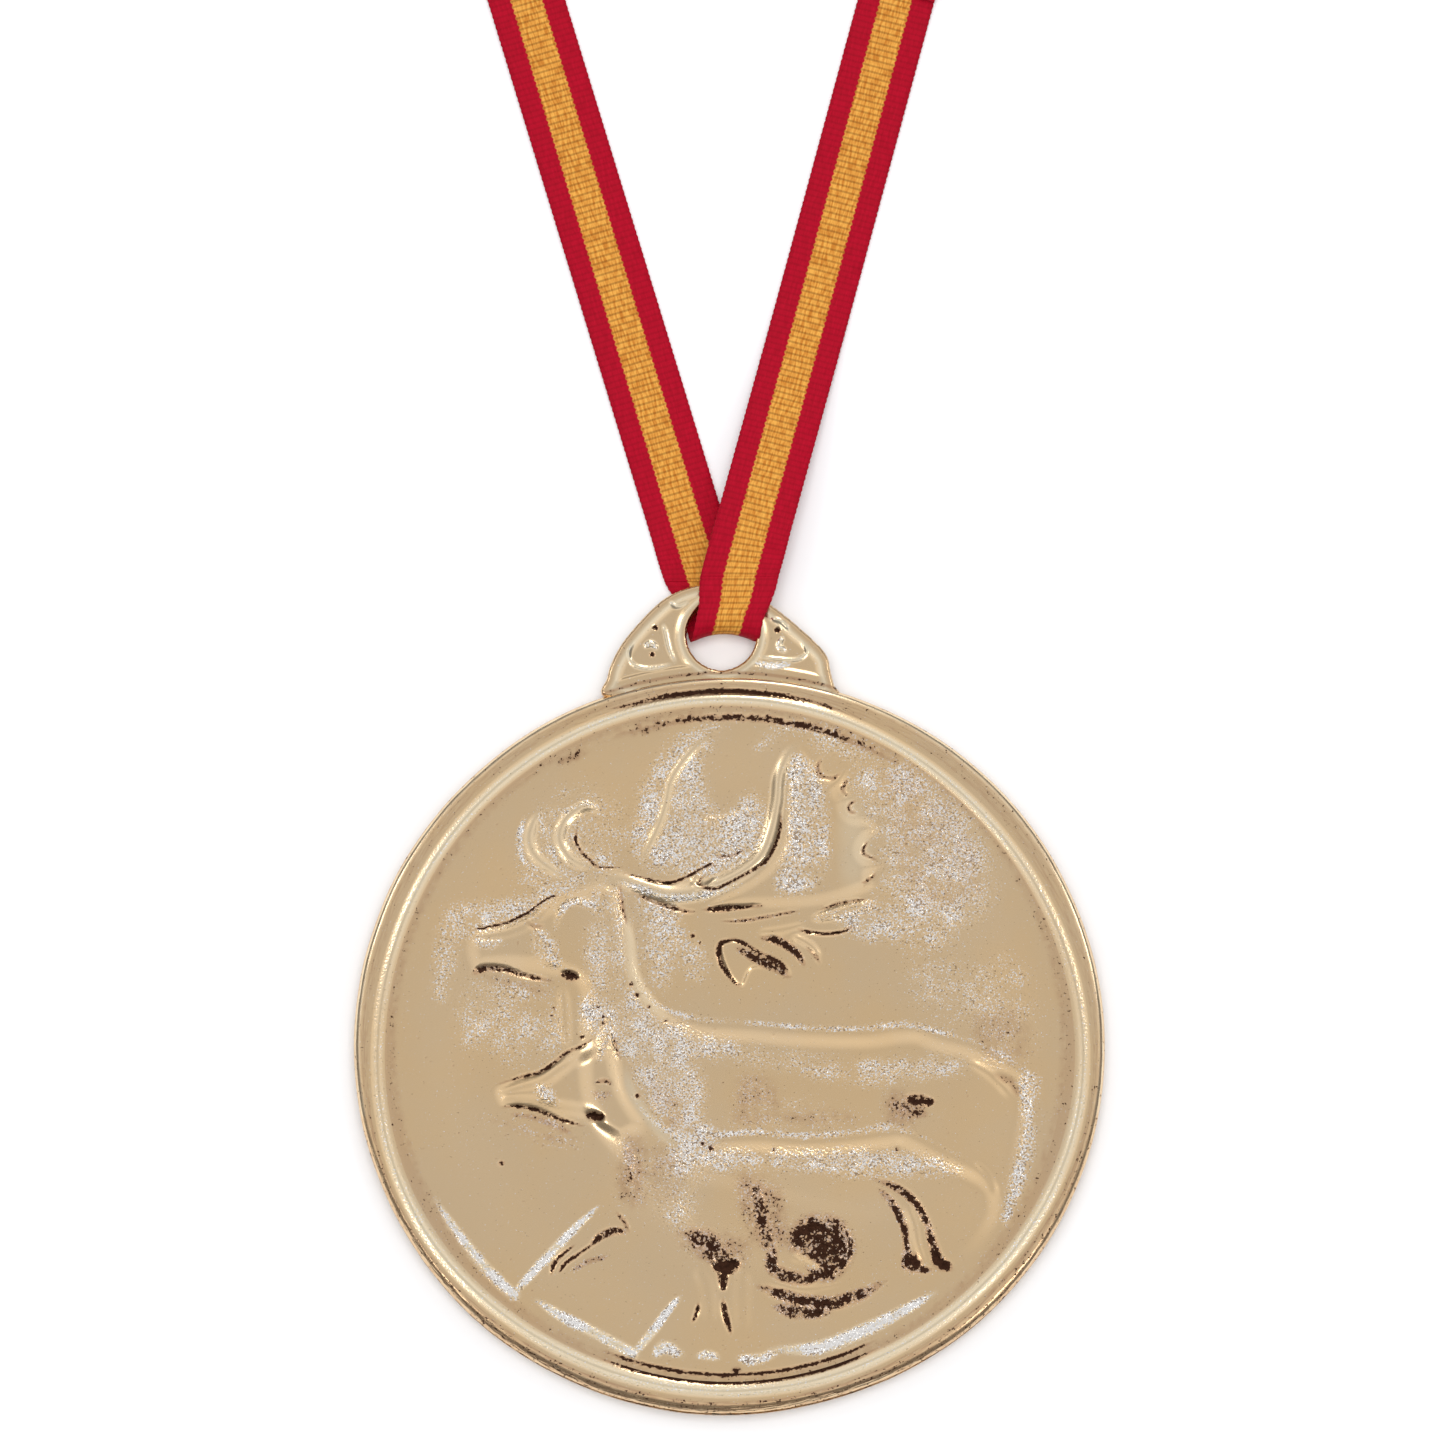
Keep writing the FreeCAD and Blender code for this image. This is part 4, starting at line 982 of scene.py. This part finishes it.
def build_lug():
    """The pierced lug: raised border and eye, sunk side panels with small scrolls."""
    lug = Relief((-12.6, 31.4), (11.2, 44.2), LUG_PITCH)
    edge = lug.depth_in(LUG_OUTLINE, 40.0)[1]
    eye = np.hypot(lug.x - HOLE_CENTRE[0], lug.y - HOLE_CENTRE[1]) - HOLE_RADIUS
    radius = np.hypot(lug.x, lug.y)
    border = 1 - smoothstep((edge - 0.6) / 0.9)
    ring = 1 - smoothstep((eye - 0.5) / 0.8)
    foot = 1 - smoothstep((radius - 35.35) / 0.45)
    lug.height += 0.24 * np.maximum(np.maximum(border, ring), 0.8 * foot)
    lug.height += 0.02 * noise(lug.x, lug.y, 1.3, 51)
    lug.strokes(LUG_STROKES)
    for x, y, r in LUG_PITS:
        lug.stroke([(x, y, r), (x + .05, y, r)], -0.20, stain=1.0, round_ends=False)
    # Painted highlight along the crests of the border and of the eye's ring.
    lug.pale += 0.75 * bell(edge, 0.85, 0.28) + 0.75 * bell(eye, 0.62, 0.24)
    lug.pale = np.clip(lug.pale, 0, 1)
    # Painted shade on the rounded outer edge and where the lug meets the rim.
    lug.darken(0.22 * bell(edge, 0.2, 0.4))
    lug.darken(0.45 * bell(radius, 34.75, 0.2))
    depth = np.minimum(edge, eye)
    slope = 1 - np.clip(depth / LUG_ROUNDING, 0, 1)
    lug.height -= LUG_ROUNDING * (1 - np.sqrt(np.clip(1 - slope ** 2, 0, 1)))
    lug.height = np.minimum(lug.height, LUG_RISE_LIMIT)
    return lug.block("medal_lug", depth, LUG_TOP, LUG_BOTTOM, solid_bottom=True)


medal_rim = build_rim()
medal_lug = build_lug()


# ---------------------------------------------------------------- fold, lap, thread, tie
FOLD_AXIS_Y, FOLD_AXIS_Z, FOLD_RADIUS = 39.6, 1.73, 1.48
CRIMPED_WIDTH = 6.2


def build_fold():
    """The ribbon where it runs down over the lug, through its hole and up behind."""
    turn = np.linspace(0, math.pi, 13)
    arc = np.stack([0.33 - 1.3 * turn / math.pi,
                    FOLD_AXIS_Y + 0.62 - (FOLD_RADIUS + 0.05) * np.sin(turn),
                    FOLD_AXIS_Z + FOLD_RADIUS * np.cos(turn)], axis=1)
    line = np.concatenate([[FRONT_START, (0.86, 42.3, 3.24), (0.60, 41.0, 3.25)], arc,
                           [(-1.45, 41.8, 0.25), BACK_START]])
    centre, along = evenly(spline(line, per_span=6), RIB_PITCH / 4)
    near_front = smoothstep(1 - along / 4.5)
    near_back = smoothstep(1 - (along[-1] - along) / 4.0)
    end_half = RIBBON_WIDTH / 2 / math.cos(math.radians(FRONT_LEAN))
    back_half = RIBBON_WIDTH / 2 / math.cos(math.radians(BACK_LEAN))
    crimped = CRIMPED_WIDTH / 2
    half = crimped + (end_half - crimped) * near_front + (back_half - crimped) * near_back
    across = np.tile(SIDEWAYS, (len(centre), 1))
    swing = np.clip((centre[:, 2] - FOLD_AXIS_Z) / FOLD_RADIUS, -1, 1)
    dip = -0.85 * (1 - swing ** 2) * (centre[:, 1] < FOLD_AXIS_Y + 0.5)
    return ribbon_mesh("ribbon_fold_woven", centre, across, -along, half, dip)


def on_front_leg(run, aside, height):
    """A point over the front leg, that far along it and to its right."""
    way = np.array((math.sin(math.radians(FRONT_LEAN)), math.cos(math.radians(FRONT_LEAN))))
    right = np.array((way[1], -way[0]))
    plan = np.array(FRONT_START[:2]) + way * run + right * aside
    return np.array((plan[0], plan[1], height))


LAP_START, LAP_LENGTH = 58.5, 12.0


def build_lap():
    """The ribbon's other end, laid over the front leg."""
    runs = np.linspace(0, LAP_LENGTH, int(LAP_LENGTH / RIB_PITCH * 4))
    centre = np.array([on_front_leg(LAP_START + run, 0.05, 0.66) for run in runs])
    tangent = centre[-1] - centre[0]
    across = np.tile(np.cross(tangent, UP), (len(runs), 1))
    half = np.full(len(runs), RIBBON_WIDTH / 2 - 0.04)
    return ribbon_mesh("ribbon_lap_woven", centre, across, runs + LAP_START + 0.2, half)


def tube(name, lines, radius, sides=10):
    """Round threads along the lines, each closed at both ends, as one mesh."""
    points, faces = [], []
    for line in lines:
        line = np.asarray(line, float)
        tangent = unit(np.gradient(line, axis=0))
        side = unit(np.cross(tangent, UP + np.array((0.01, 0.02, 0))))
        other = np.cross(side, tangent)
        turn = np.linspace(0, 2 * math.pi, sides, endpoint=False)
        ends = np.linspace(0, 1, len(line))
        swell = radius * np.sqrt(np.clip(1 - (2 * ends - 1) ** 8, 0.05, 1))
        ring = (line[:, None] + swell[:, None, None]
                * (side[:, None] * np.cos(turn)[None, :, None]
                   + other[:, None] * np.sin(turn)[None, :, None]))
        base = len(points)
        points.extend(ring.reshape(-1, 3))
        faces.extend((grid_faces(len(line), sides, wrap=True) + base).tolist())
        faces.append(list(range(base + sides - 1, base - 1, -1)))
        faces.append(list(range(base + (len(line) - 1) * sides, base + len(line) * sides)))
    return mesh_piece(name, points, faces)


def build_stitches():
    """Two rows of lockstitch across the lap."""
    lines = []
    rows, in_row, length = (1.5, LAP_LENGTH - 1.5), 5, 0.95
    for row in rows:
        for number in range(in_row):
            middle = (number - (in_row - 1) / 2) * RIBBON_WIDTH / in_row
            share = np.linspace(-1, 1, 9)
            lines.append([on_front_leg(LAP_START + row + 0.15 + 0.05 * s,
                                       middle + s * length / 2,
                                       0.84 + 0.10 * (1 - s * s)) for s in share])
    return tube("seam_stitches", lines, 0.13)


TIE_ANGLE, TIE_WIDTH, TIE_TAIL = 55.0, 3.0, 8.0
TIE_TURN = math.radians(TIE_ANGLE)
OUTWARD = np.array((math.cos(TIE_TURN), math.sin(TIE_TURN), 0))
ALONG_COIL = np.array((-math.sin(TIE_TURN), math.cos(TIE_TURN), 0))
COIL_ORIGIN = np.array((*COIL_CENTRE, 0))
TIE_INNER, TIE_OUTER, TIE_LOW, TIE_HIGH, TIE_CORNER = 33.36, 36.84, 0.23, 7.74, 0.5
TIE_ACROSS = np.linspace(-1, 1, 13)


def strip_ring(middle, up, wide, lift, bulge):
    """Points round a paper strip: over its top from edge to edge, and back under it."""
    over, under = ((up * (lift + side * bulge)[:, None] + wide * TIE_ACROSS[:, None])
                   for side in (1, -1))
    return middle + np.concatenate([over, under[::-1]])


def tie_loop():
    """The band's section round the coil's turns: a rectangle with round corners."""
    left, right = TIE_INNER + TIE_CORNER, TIE_OUTER - TIE_CORNER
    low, high = TIE_LOW + TIE_CORNER, TIE_HIGH - TIE_CORNER
    loop = []
    for x, z, start in ((right, high, 0), (left, high, 90), (left, low, 180), (right, low, 270)):
        for turn in np.radians(np.arange(start, start + 91, 15)):
            loop.append((x + TIE_CORNER * math.cos(turn), z + TIE_CORNER * math.sin(turn)))
    return spline(loop, closed=True, per_span=3)[:-1]


def tie_band():
    """Rings of points along the band."""
    loop = tie_loop()
    along = np.gradient(np.concatenate([loop[-1:], loop, loop[:1]]), axis=0)[1:-1]
    normal = unit(np.stack([along[:, 1], -along[:, 0]], axis=1))
    bulge = 0.10 + 0.12 * bell(TIE_ACROSS, 0, 0.16)
    rings = []
    for (r, z), (nr, nz) in zip(loop, normal):
        crease = 0.015 * np.sin(9 * z + 5 * TIE_ACROSS) + 0.01 * math.sin(23 * r)
        middle = COIL_ORIGIN + OUTWARD * r + UP * z
        rings.append(strip_ring(middle, OUTWARD * nr + UP * nz, ALONG_COIL * TIE_WIDTH / 2,
                                crease, bulge))
    return rings


def tie_end(strand, steps=60):
    """Rings of points along one of the two ends that are twisted together."""
    bulge = 0.07 + 0.12 * bell(TIE_ACROSS, 0, 0.2)
    rings = []
    for share in np.linspace(0, 1, steps):
        spin = math.pi * strand + 2.6 * math.pi * share
        middle = COIL_ORIGIN + OUTWARD * (TIE_OUTER + 0.15 + (TIE_TAIL - 0.2) * share)
        middle = middle + UP * (3.9 + 0.3 * math.sin(3 * share))
        wide = ALONG_COIL * math.cos(spin) + UP * math.sin(spin)
        up = UP * math.cos(spin) - ALONG_COIL * math.sin(spin)
        spread = 0.16 + 0.9 * max(0, share - 0.75) * 2
        rings.append(strip_ring(middle, up, wide * (0.95 + 0.35 * share), spread, bulge))
    return rings


def build_tie():
    """A paper-covered wire tie: a band round the coil's turns and two twisted ends."""
    columns = 2 * len(TIE_ACROSS)
    band = tie_band()
    points = list(np.concatenate(band))
    faces = grid_faces(len(band), columns, wrap=True).tolist()
    last = (len(band) - 1) * columns
    faces += [[last + c, last + (c + 1) % columns, (c + 1) % columns, c]
              for c in range(columns)]
    for strand in range(2):
        rings, base = tie_end(strand), len(points)
        points.extend(np.concatenate(rings))
        faces += (grid_faces(len(rings), columns, wrap=True)[:, ::-1] + base).tolist()
        faces.append(list(range(base, base + columns)))
        end = base + (len(rings) - 1) * columns
        faces.append(list(range(end + columns - 1, end - 1, -1)))
    return mesh_piece("coil_paper_tie", points, faces)


ribbon_fold = build_fold()
ribbon_lap = build_lap()
stitches = build_stitches()
paper_tie = build_tie()


# ---------------------------------------------------------------- materials
def srgb(red, green, blue):
    """A colour given as the eye sees it, 0 to 255, for a shader socket."""
    channels = [c / 255 for c in (red, green, blue)]
    return (*[c / 12.92 if c <= 0.04045 else ((c + 0.055) / 1.055) ** 2.4
              for c in channels], 1)


class Nodes:
    """A material's node tree, with short ways to add and join nodes."""

    def __init__(self, name):
        self.material = bpy.data.materials.new(name)
        self.material.use_nodes = True
        self.tree = self.material.node_tree
        self.shader = self.tree.nodes["Principled BSDF"]

    def add(self, kind, **settings):
        """A new node of a kind, with its settings."""
        node = self.tree.nodes.new(kind)
        for key, value in settings.items():
            setattr(node, key, value)
        return node

    def join(self, source, target):
        self.tree.links.new(source, target)

    def feed(self, socket, value):
        """A number, a colour or another node's output into a socket."""
        if isinstance(value, bpy.types.NodeSocket):
            self.join(value, socket)
        else:
            socket.default_value = value

    def put(self, name, value):
        """A value into one of the shader's own sockets."""
        self.feed(self.shader.inputs[name], value)

    def attribute(self, name):
        """What the mesh says under that name."""
        return self.add("ShaderNodeAttribute", attribute_name=name).outputs["Fac"]

    def math(self, operation, *values):
        """One step of arithmetic."""
        node = self.add("ShaderNodeMath", operation=operation)
        for socket, value in zip(node.inputs, values):
            self.feed(socket, value)
        return node.outputs[0]

    def noise(self, scale, detail=2.0, rough=0.5, vector=None, stretch=None):
        """Noise over the object's own coordinates, or over a vector."""
        node = self.add("ShaderNodeTexNoise")
        node.inputs["Scale"].default_value = scale
        node.inputs["Detail"].default_value = detail
        node.inputs["Roughness"].default_value = rough
        place = vector or self.add("ShaderNodeTexCoord").outputs["Object"]
        if stretch:
            mapping = self.add("ShaderNodeMapping")
            mapping.inputs["Scale"].default_value = stretch
            self.join(place, mapping.inputs["Vector"])
            place = mapping.outputs[0]
        self.join(place, node.inputs["Vector"])
        return node.outputs["Fac"]

    def span(self, value, low, high, to_low=0.0, to_high=1.0):
        """A value's way from low to high, as a soft step between two numbers."""
        node = self.add("ShaderNodeMapRange", interpolation_type="SMOOTHSTEP")
        for key, number in (("From Min", low), ("From Max", high),
                            ("To Min", to_low), ("To Max", to_high)):
            node.inputs[key].default_value = number
        self.feed(node.inputs["Value"], value)
        return node.outputs[0]

    def mix(self, factor, first, second, blend="MIX"):
        """Two colours mixed by a factor."""
        node = self.add("ShaderNodeMix", data_type="RGBA", blend_type=blend)
        self.feed(node.inputs[0], factor)
        self.feed(node.inputs[6], first)
        self.feed(node.inputs[7], second)
        return node.outputs[2]

    def bump(self, height, distance, under=None):
        """A normal that a height tilts, over another one if that is given."""
        node = self.add("ShaderNodeBump")
        node.inputs["Strength"].default_value = 1.0
        node.inputs["Distance"].default_value = distance
        self.feed(node.inputs["Height"], height)
        if under is not None:
            self.join(under, node.inputs["Normal"])
        return node.outputs[0]


PER_MM = 1000.0
# The plating's colours, for the shader as they are: gold and deeper gold, a painted highlight,
# painted light and dark glints, and a tan of painted shade and stain.
GOLD, DEEP_GOLD = (0.87, 0.645, 0.385, 1), (0.88, 0.63, 0.35, 1)
HIGHLIGHT_GOLD, GLINT_SILVER = (1.0, 0.86, 0.61, 1), (1.0, 0.97, 0.92, 1)
DARK_GLINT, TAN = (0.34, 0.22, 0.12, 1), (0.60, 0.36, 0.20, 1)


def gold_material():
    """Thin pale gold plating on a sand-cast surface, dark brown with painted shade and stain where
    it is pitted or sunk, with painted highlights and painted glints.
    """
    n = Nodes("gold_plate")
    stain, grain, pale = n.attribute("stain"), n.attribute("grain"), n.attribute("pale")
    cloud = n.noise(0.12 * PER_MM, 3.0)
    warm = n.mix(n.span(cloud, 0.35, 0.7), GOLD, DEEP_GOLD)
    # Dark brown for painted shade and stain in pits, hollows, creases and grooves.
    fleck = n.noise(3.6 * PER_MM, 2.0, 0.6)
    brown = n.mix(fleck, srgb(22, 14, 11), srgb(92, 60, 44))
    ragged = n.math("ADD", stain, n.math("MULTIPLY", n.math("SUBTRACT", fleck, 0.5), 1.7))
    dark = n.span(ragged, 0.46, 0.60)
    # Painted glints: silvery flecks, most where the grain is.
    bright = n.noise(5.8 * PER_MM, 1.0, 0.6)
    bright = n.math("ADD", bright, n.math("MULTIPLY", grain, 0.26))
    # Painted highlight: the pale layer brightens the gold.
    highlighted = n.mix(pale, warm, HIGHLIGHT_GOLD)
    glinted = n.mix(n.span(bright, 0.70, 0.81), highlighted, GLINT_SILVER)
    # Painted dark glints: dark flecks in the grain.
    dark_glint_mask = n.noise(4.6 * PER_MM, 1.0, 0.6, stretch=(1.0, 1.3, 1.0))
    dark_glint_mask = n.math("ADD", dark_glint_mask, n.math("MULTIPLY", grain, n.span(pale, 0.4, 0.9, 0.17, 0.05)))
    darkening = n.mix(n.span(dark_glint_mask, 0.73, 0.79, 0.0, 0.8), glinted, DARK_GLINT)
    # A tan of painted shade and stain round the dark places.
    tan_tint_of_shade = n.mix(n.span(stain, 0.04, 0.45, 0.0, 0.70), darkening, TAN)
    n.put("Base Color", n.mix(dark, tan_tint_of_shade, brown))
    n.put("Roughness", n.math("ADD", n.span(cloud, 0.3, 0.7, 0.19, 0.24),
                              n.math("MULTIPLY", dark, 0.25)))
    n.put("Metallic", 1.0)
    fine = n.noise(4.3 * PER_MM, 1.0, 0.5)
    broad = n.noise(0.55 * PER_MM, 2.0, 0.5)
    calm = n.span(pale, 0.4, 0.9, 1.5, 0.8)
    pebbles = n.math("MULTIPLY", n.math("SUBTRACT", fine, 0.5),
                     n.math("ADD", n.math("MULTIPLY", grain, calm), 0.02))
    first = n.bump(pebbles, 0.075 * MM)
    n.put("Normal", n.bump(broad, 0.010 * MM, first))
    return n.material


def ribbon_material():
    """Ribbed weave with red edges and a yellow middle stripe."""
    n = Nodes("striped_ribbon")
    across, along = n.attribute("weave_across"), n.attribute("weave_along")
    phase = n.math("MULTIPLY", along, 2 * math.pi / RIB_PITCH)
    rib = n.math("COSINE", phase)
    aside = n.math("ABSOLUTE", across)
    scallop = n.math("MULTIPLY", rib, 0.07)
    stripe = n.span(n.math("ADD", aside, scallop), 1.37, 1.51, 1.0, 0.0)
    place = n.add("ShaderNodeCombineXYZ")
    n.join(across, place.inputs[0])
    n.join(along, place.inputs[1])
    thread = n.noise(4.6, 2.0, 0.6, place.outputs[0], (1.0, 0.16, 1.0))
    cloudy = n.noise(0.5, 2.0, 0.5, place.outputs[0])
    red = n.mix(thread, srgb(146, 0, 25), srgb(190, 8, 43))
    yellow = n.mix(n.span(thread, 0.3, 0.7), srgb(196, 122, 42), srgb(236, 172, 78))
    colour = n.mix(stripe, red, yellow)
    colour = n.mix(n.span(cloudy, 0.3, 0.7, 0.0, 0.06), colour, srgb(120, 30, 20))
    # Painted shade in the rib grooves, deeper in the yellow stripe than in the red.
    shade_depth = n.span(stripe, 0.0, 1.0, 0.86, 0.62)
    crest = n.span(rib, -1.0, 0.1)
    groove = n.math("ADD", shade_depth, n.math("MULTIPLY", crest, n.math("SUBTRACT", 1.0, shade_depth)))
    shade = n.add("ShaderNodeCombineColor")
    for k in range(3):
        n.join(groove, shade.inputs[k])
    n.put("Base Color", n.mix(1.0, colour, shade.outputs[0], "MULTIPLY"))
    n.put("Roughness", 0.62)
    n.put("Sheen Weight", 0.02)
    n.put("Specular IOR Level", 0.12)
    n.put("Normal", n.bump(thread, 0.05 * MM))
    return n.material


def thread_material():
    """Red sewing thread with a light twist."""
    n = Nodes("red_thread")
    twist = n.noise(5.0 * PER_MM, 1.0)
    n.put("Base Color", n.mix(twist, srgb(130, 8, 30), srgb(205, 40, 66)))
    n.put("Roughness", 0.6)
    n.put("Normal", n.bump(twist, 0.04 * MM))
    return n.material


def paper_material():
    """White paper with a faint fibre."""
    n = Nodes("paper_tie")
    fibre = n.noise(2.2 * PER_MM, 4.0, 0.6)
    n.put("Base Color", n.mix(fibre, srgb(222, 218, 208), srgb(248, 246, 240)))
    n.put("Roughness", 0.8)
    n.put("Normal", n.bump(fibre, 0.05 * MM))
    return n.material


def dress(material, slot, *objects):
    """Give the objects a material."""
    for item in objects:
        item.data.materials.append(material)


dress(gold_material(), "gold_plate", medal_face, medal_rim, medal_lug)
dress(ribbon_material(), "striped_ribbon", front_ribbon, back_ribbon, ribbon_fold, ribbon_lap)
dress(thread_material(), "red_thread", stitches)
dress(paper_material(), "paper_tie", paper_tie)

# ---------------------------------------------------------------- what moves with what
for piece in (medal_face, medal_rim, medal_lug):
    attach(piece, "medal")
for piece in (front_ribbon, back_ribbon, ribbon_lap, stitches, paper_tie):
    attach(piece, "ribbon")
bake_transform(ribbon_fold)
for piece in (medal_face, medal_rim, medal_lug):
    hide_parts("medal_casting")
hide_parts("ribbon_fold")
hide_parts("ribbon_front_leg", "ribbon_coil")
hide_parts("ribbon_back_leg", "ribbon_coil")
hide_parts("ribbon_lap")
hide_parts("seam_thread")
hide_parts("coil_tie")


# ---------------------------------------------------------------- studio
def add_floor():
    """A plain pale floor."""
    bpy.ops.mesh.primitive_plane_add(size=6, location=(0, 0, 0))
    floor = bpy.context.object
    floor.name = "floor"
    n = Nodes("pale_floor")
    n.put("Base Color", (0.93, 0.93, 0.93, 1))
    n.put("Roughness", 0.9)
    n.put("Specular IOR Level", 0.1)
    floor.data.materials.append(n.material)


def add_panel(name, place, size, radiance):
    """A soft light panel facing the medal, as bright as radiance says."""
    light = bpy.data.lights.new(name, "AREA")
    light.shape = "RECTANGLE"
    light.size, light.size_y = size
    light.energy = radiance * math.pi * size[0] * size[1]
    panel = bpy.data.objects.new(name, light)
    panel.location = place
    panel.rotation_euler = Vector(place).to_track_quat("Z", "Y").to_euler()
    bpy.context.scene.collection.objects.link(panel)
    return panel


# The room by angle from the way that the flat of the medal mirrors: (degrees, radiance).
ROOM = [(0, 0.60), (13, 0.63), (26, 0.74), (44, 0.85), (54, 0.46), (66, 0.22)]
ROOM_PEAK = 0.9


def add_world():
    """A soft ring of light round a dimmer middle, dark towards the horizon."""
    world = bpy.data.worlds.new("room")
    bpy.context.scene.world = world
    world.use_nodes = True
    tree = world.node_tree
    place = tree.nodes.new("ShaderNodeTexCoord")
    toward = tree.nodes.new("ShaderNodeVectorMath")
    toward.operation = "DOT_PRODUCT"
    lean = math.radians(CAMERA_LEAN)
    toward.inputs[1].default_value = (0, math.sin(lean), math.cos(lean))
    ramp = tree.nodes.new("ShaderNodeValToRGB")
    stops = ramp.color_ramp.elements
    for number, (angle, radiance) in enumerate(reversed(ROOM)):
        stop = stops[number] if number < 2 else stops.new(1.0)
        stop.position = math.cos(math.radians(angle))
        level = radiance / ROOM_PEAK
        stop.color = (level, level, level * 1.03, 1)
    tree.links.new(place.outputs["Generated"], toward.inputs[0])
    tree.links.new(toward.outputs["Value"], ramp.inputs["Fac"])
    tree.links.new(ramp.outputs[0], tree.nodes["Background"].inputs["Color"])
    tree.nodes["Background"].inputs["Strength"].default_value = ROOM_PEAK


# Round the medal: azimuth from +X, tilt off the vertical, brightness.
SOFT_BOXES = [(82, 60, 6.2), (150, 52, 3.4), (212, 48, 4.5), (322, 50, 5.0), (25, 54, 3.4)]
BOX_DISTANCE, BOX_SIZE = 1.15, 0.22

add_floor()
add_world()
for number, (azimuth, tilt, radiance) in enumerate(SOFT_BOXES):
    turn, lean = math.radians(azimuth), math.radians(tilt)
    reach = math.sin(lean) * BOX_DISTANCE
    place = (reach * math.cos(turn), reach * math.sin(turn), math.cos(lean) * BOX_DISTANCE)
    add_panel(f"soft_box_{number}", place, (BOX_SIZE, BOX_SIZE), radiance)
overhead = add_panel("overhead", (0, 0.05, 1.3), (0.9, 0.9), 3.4)
overhead.visible_glossy = False
bpy.context.scene.view_settings.view_transform = "Standard"
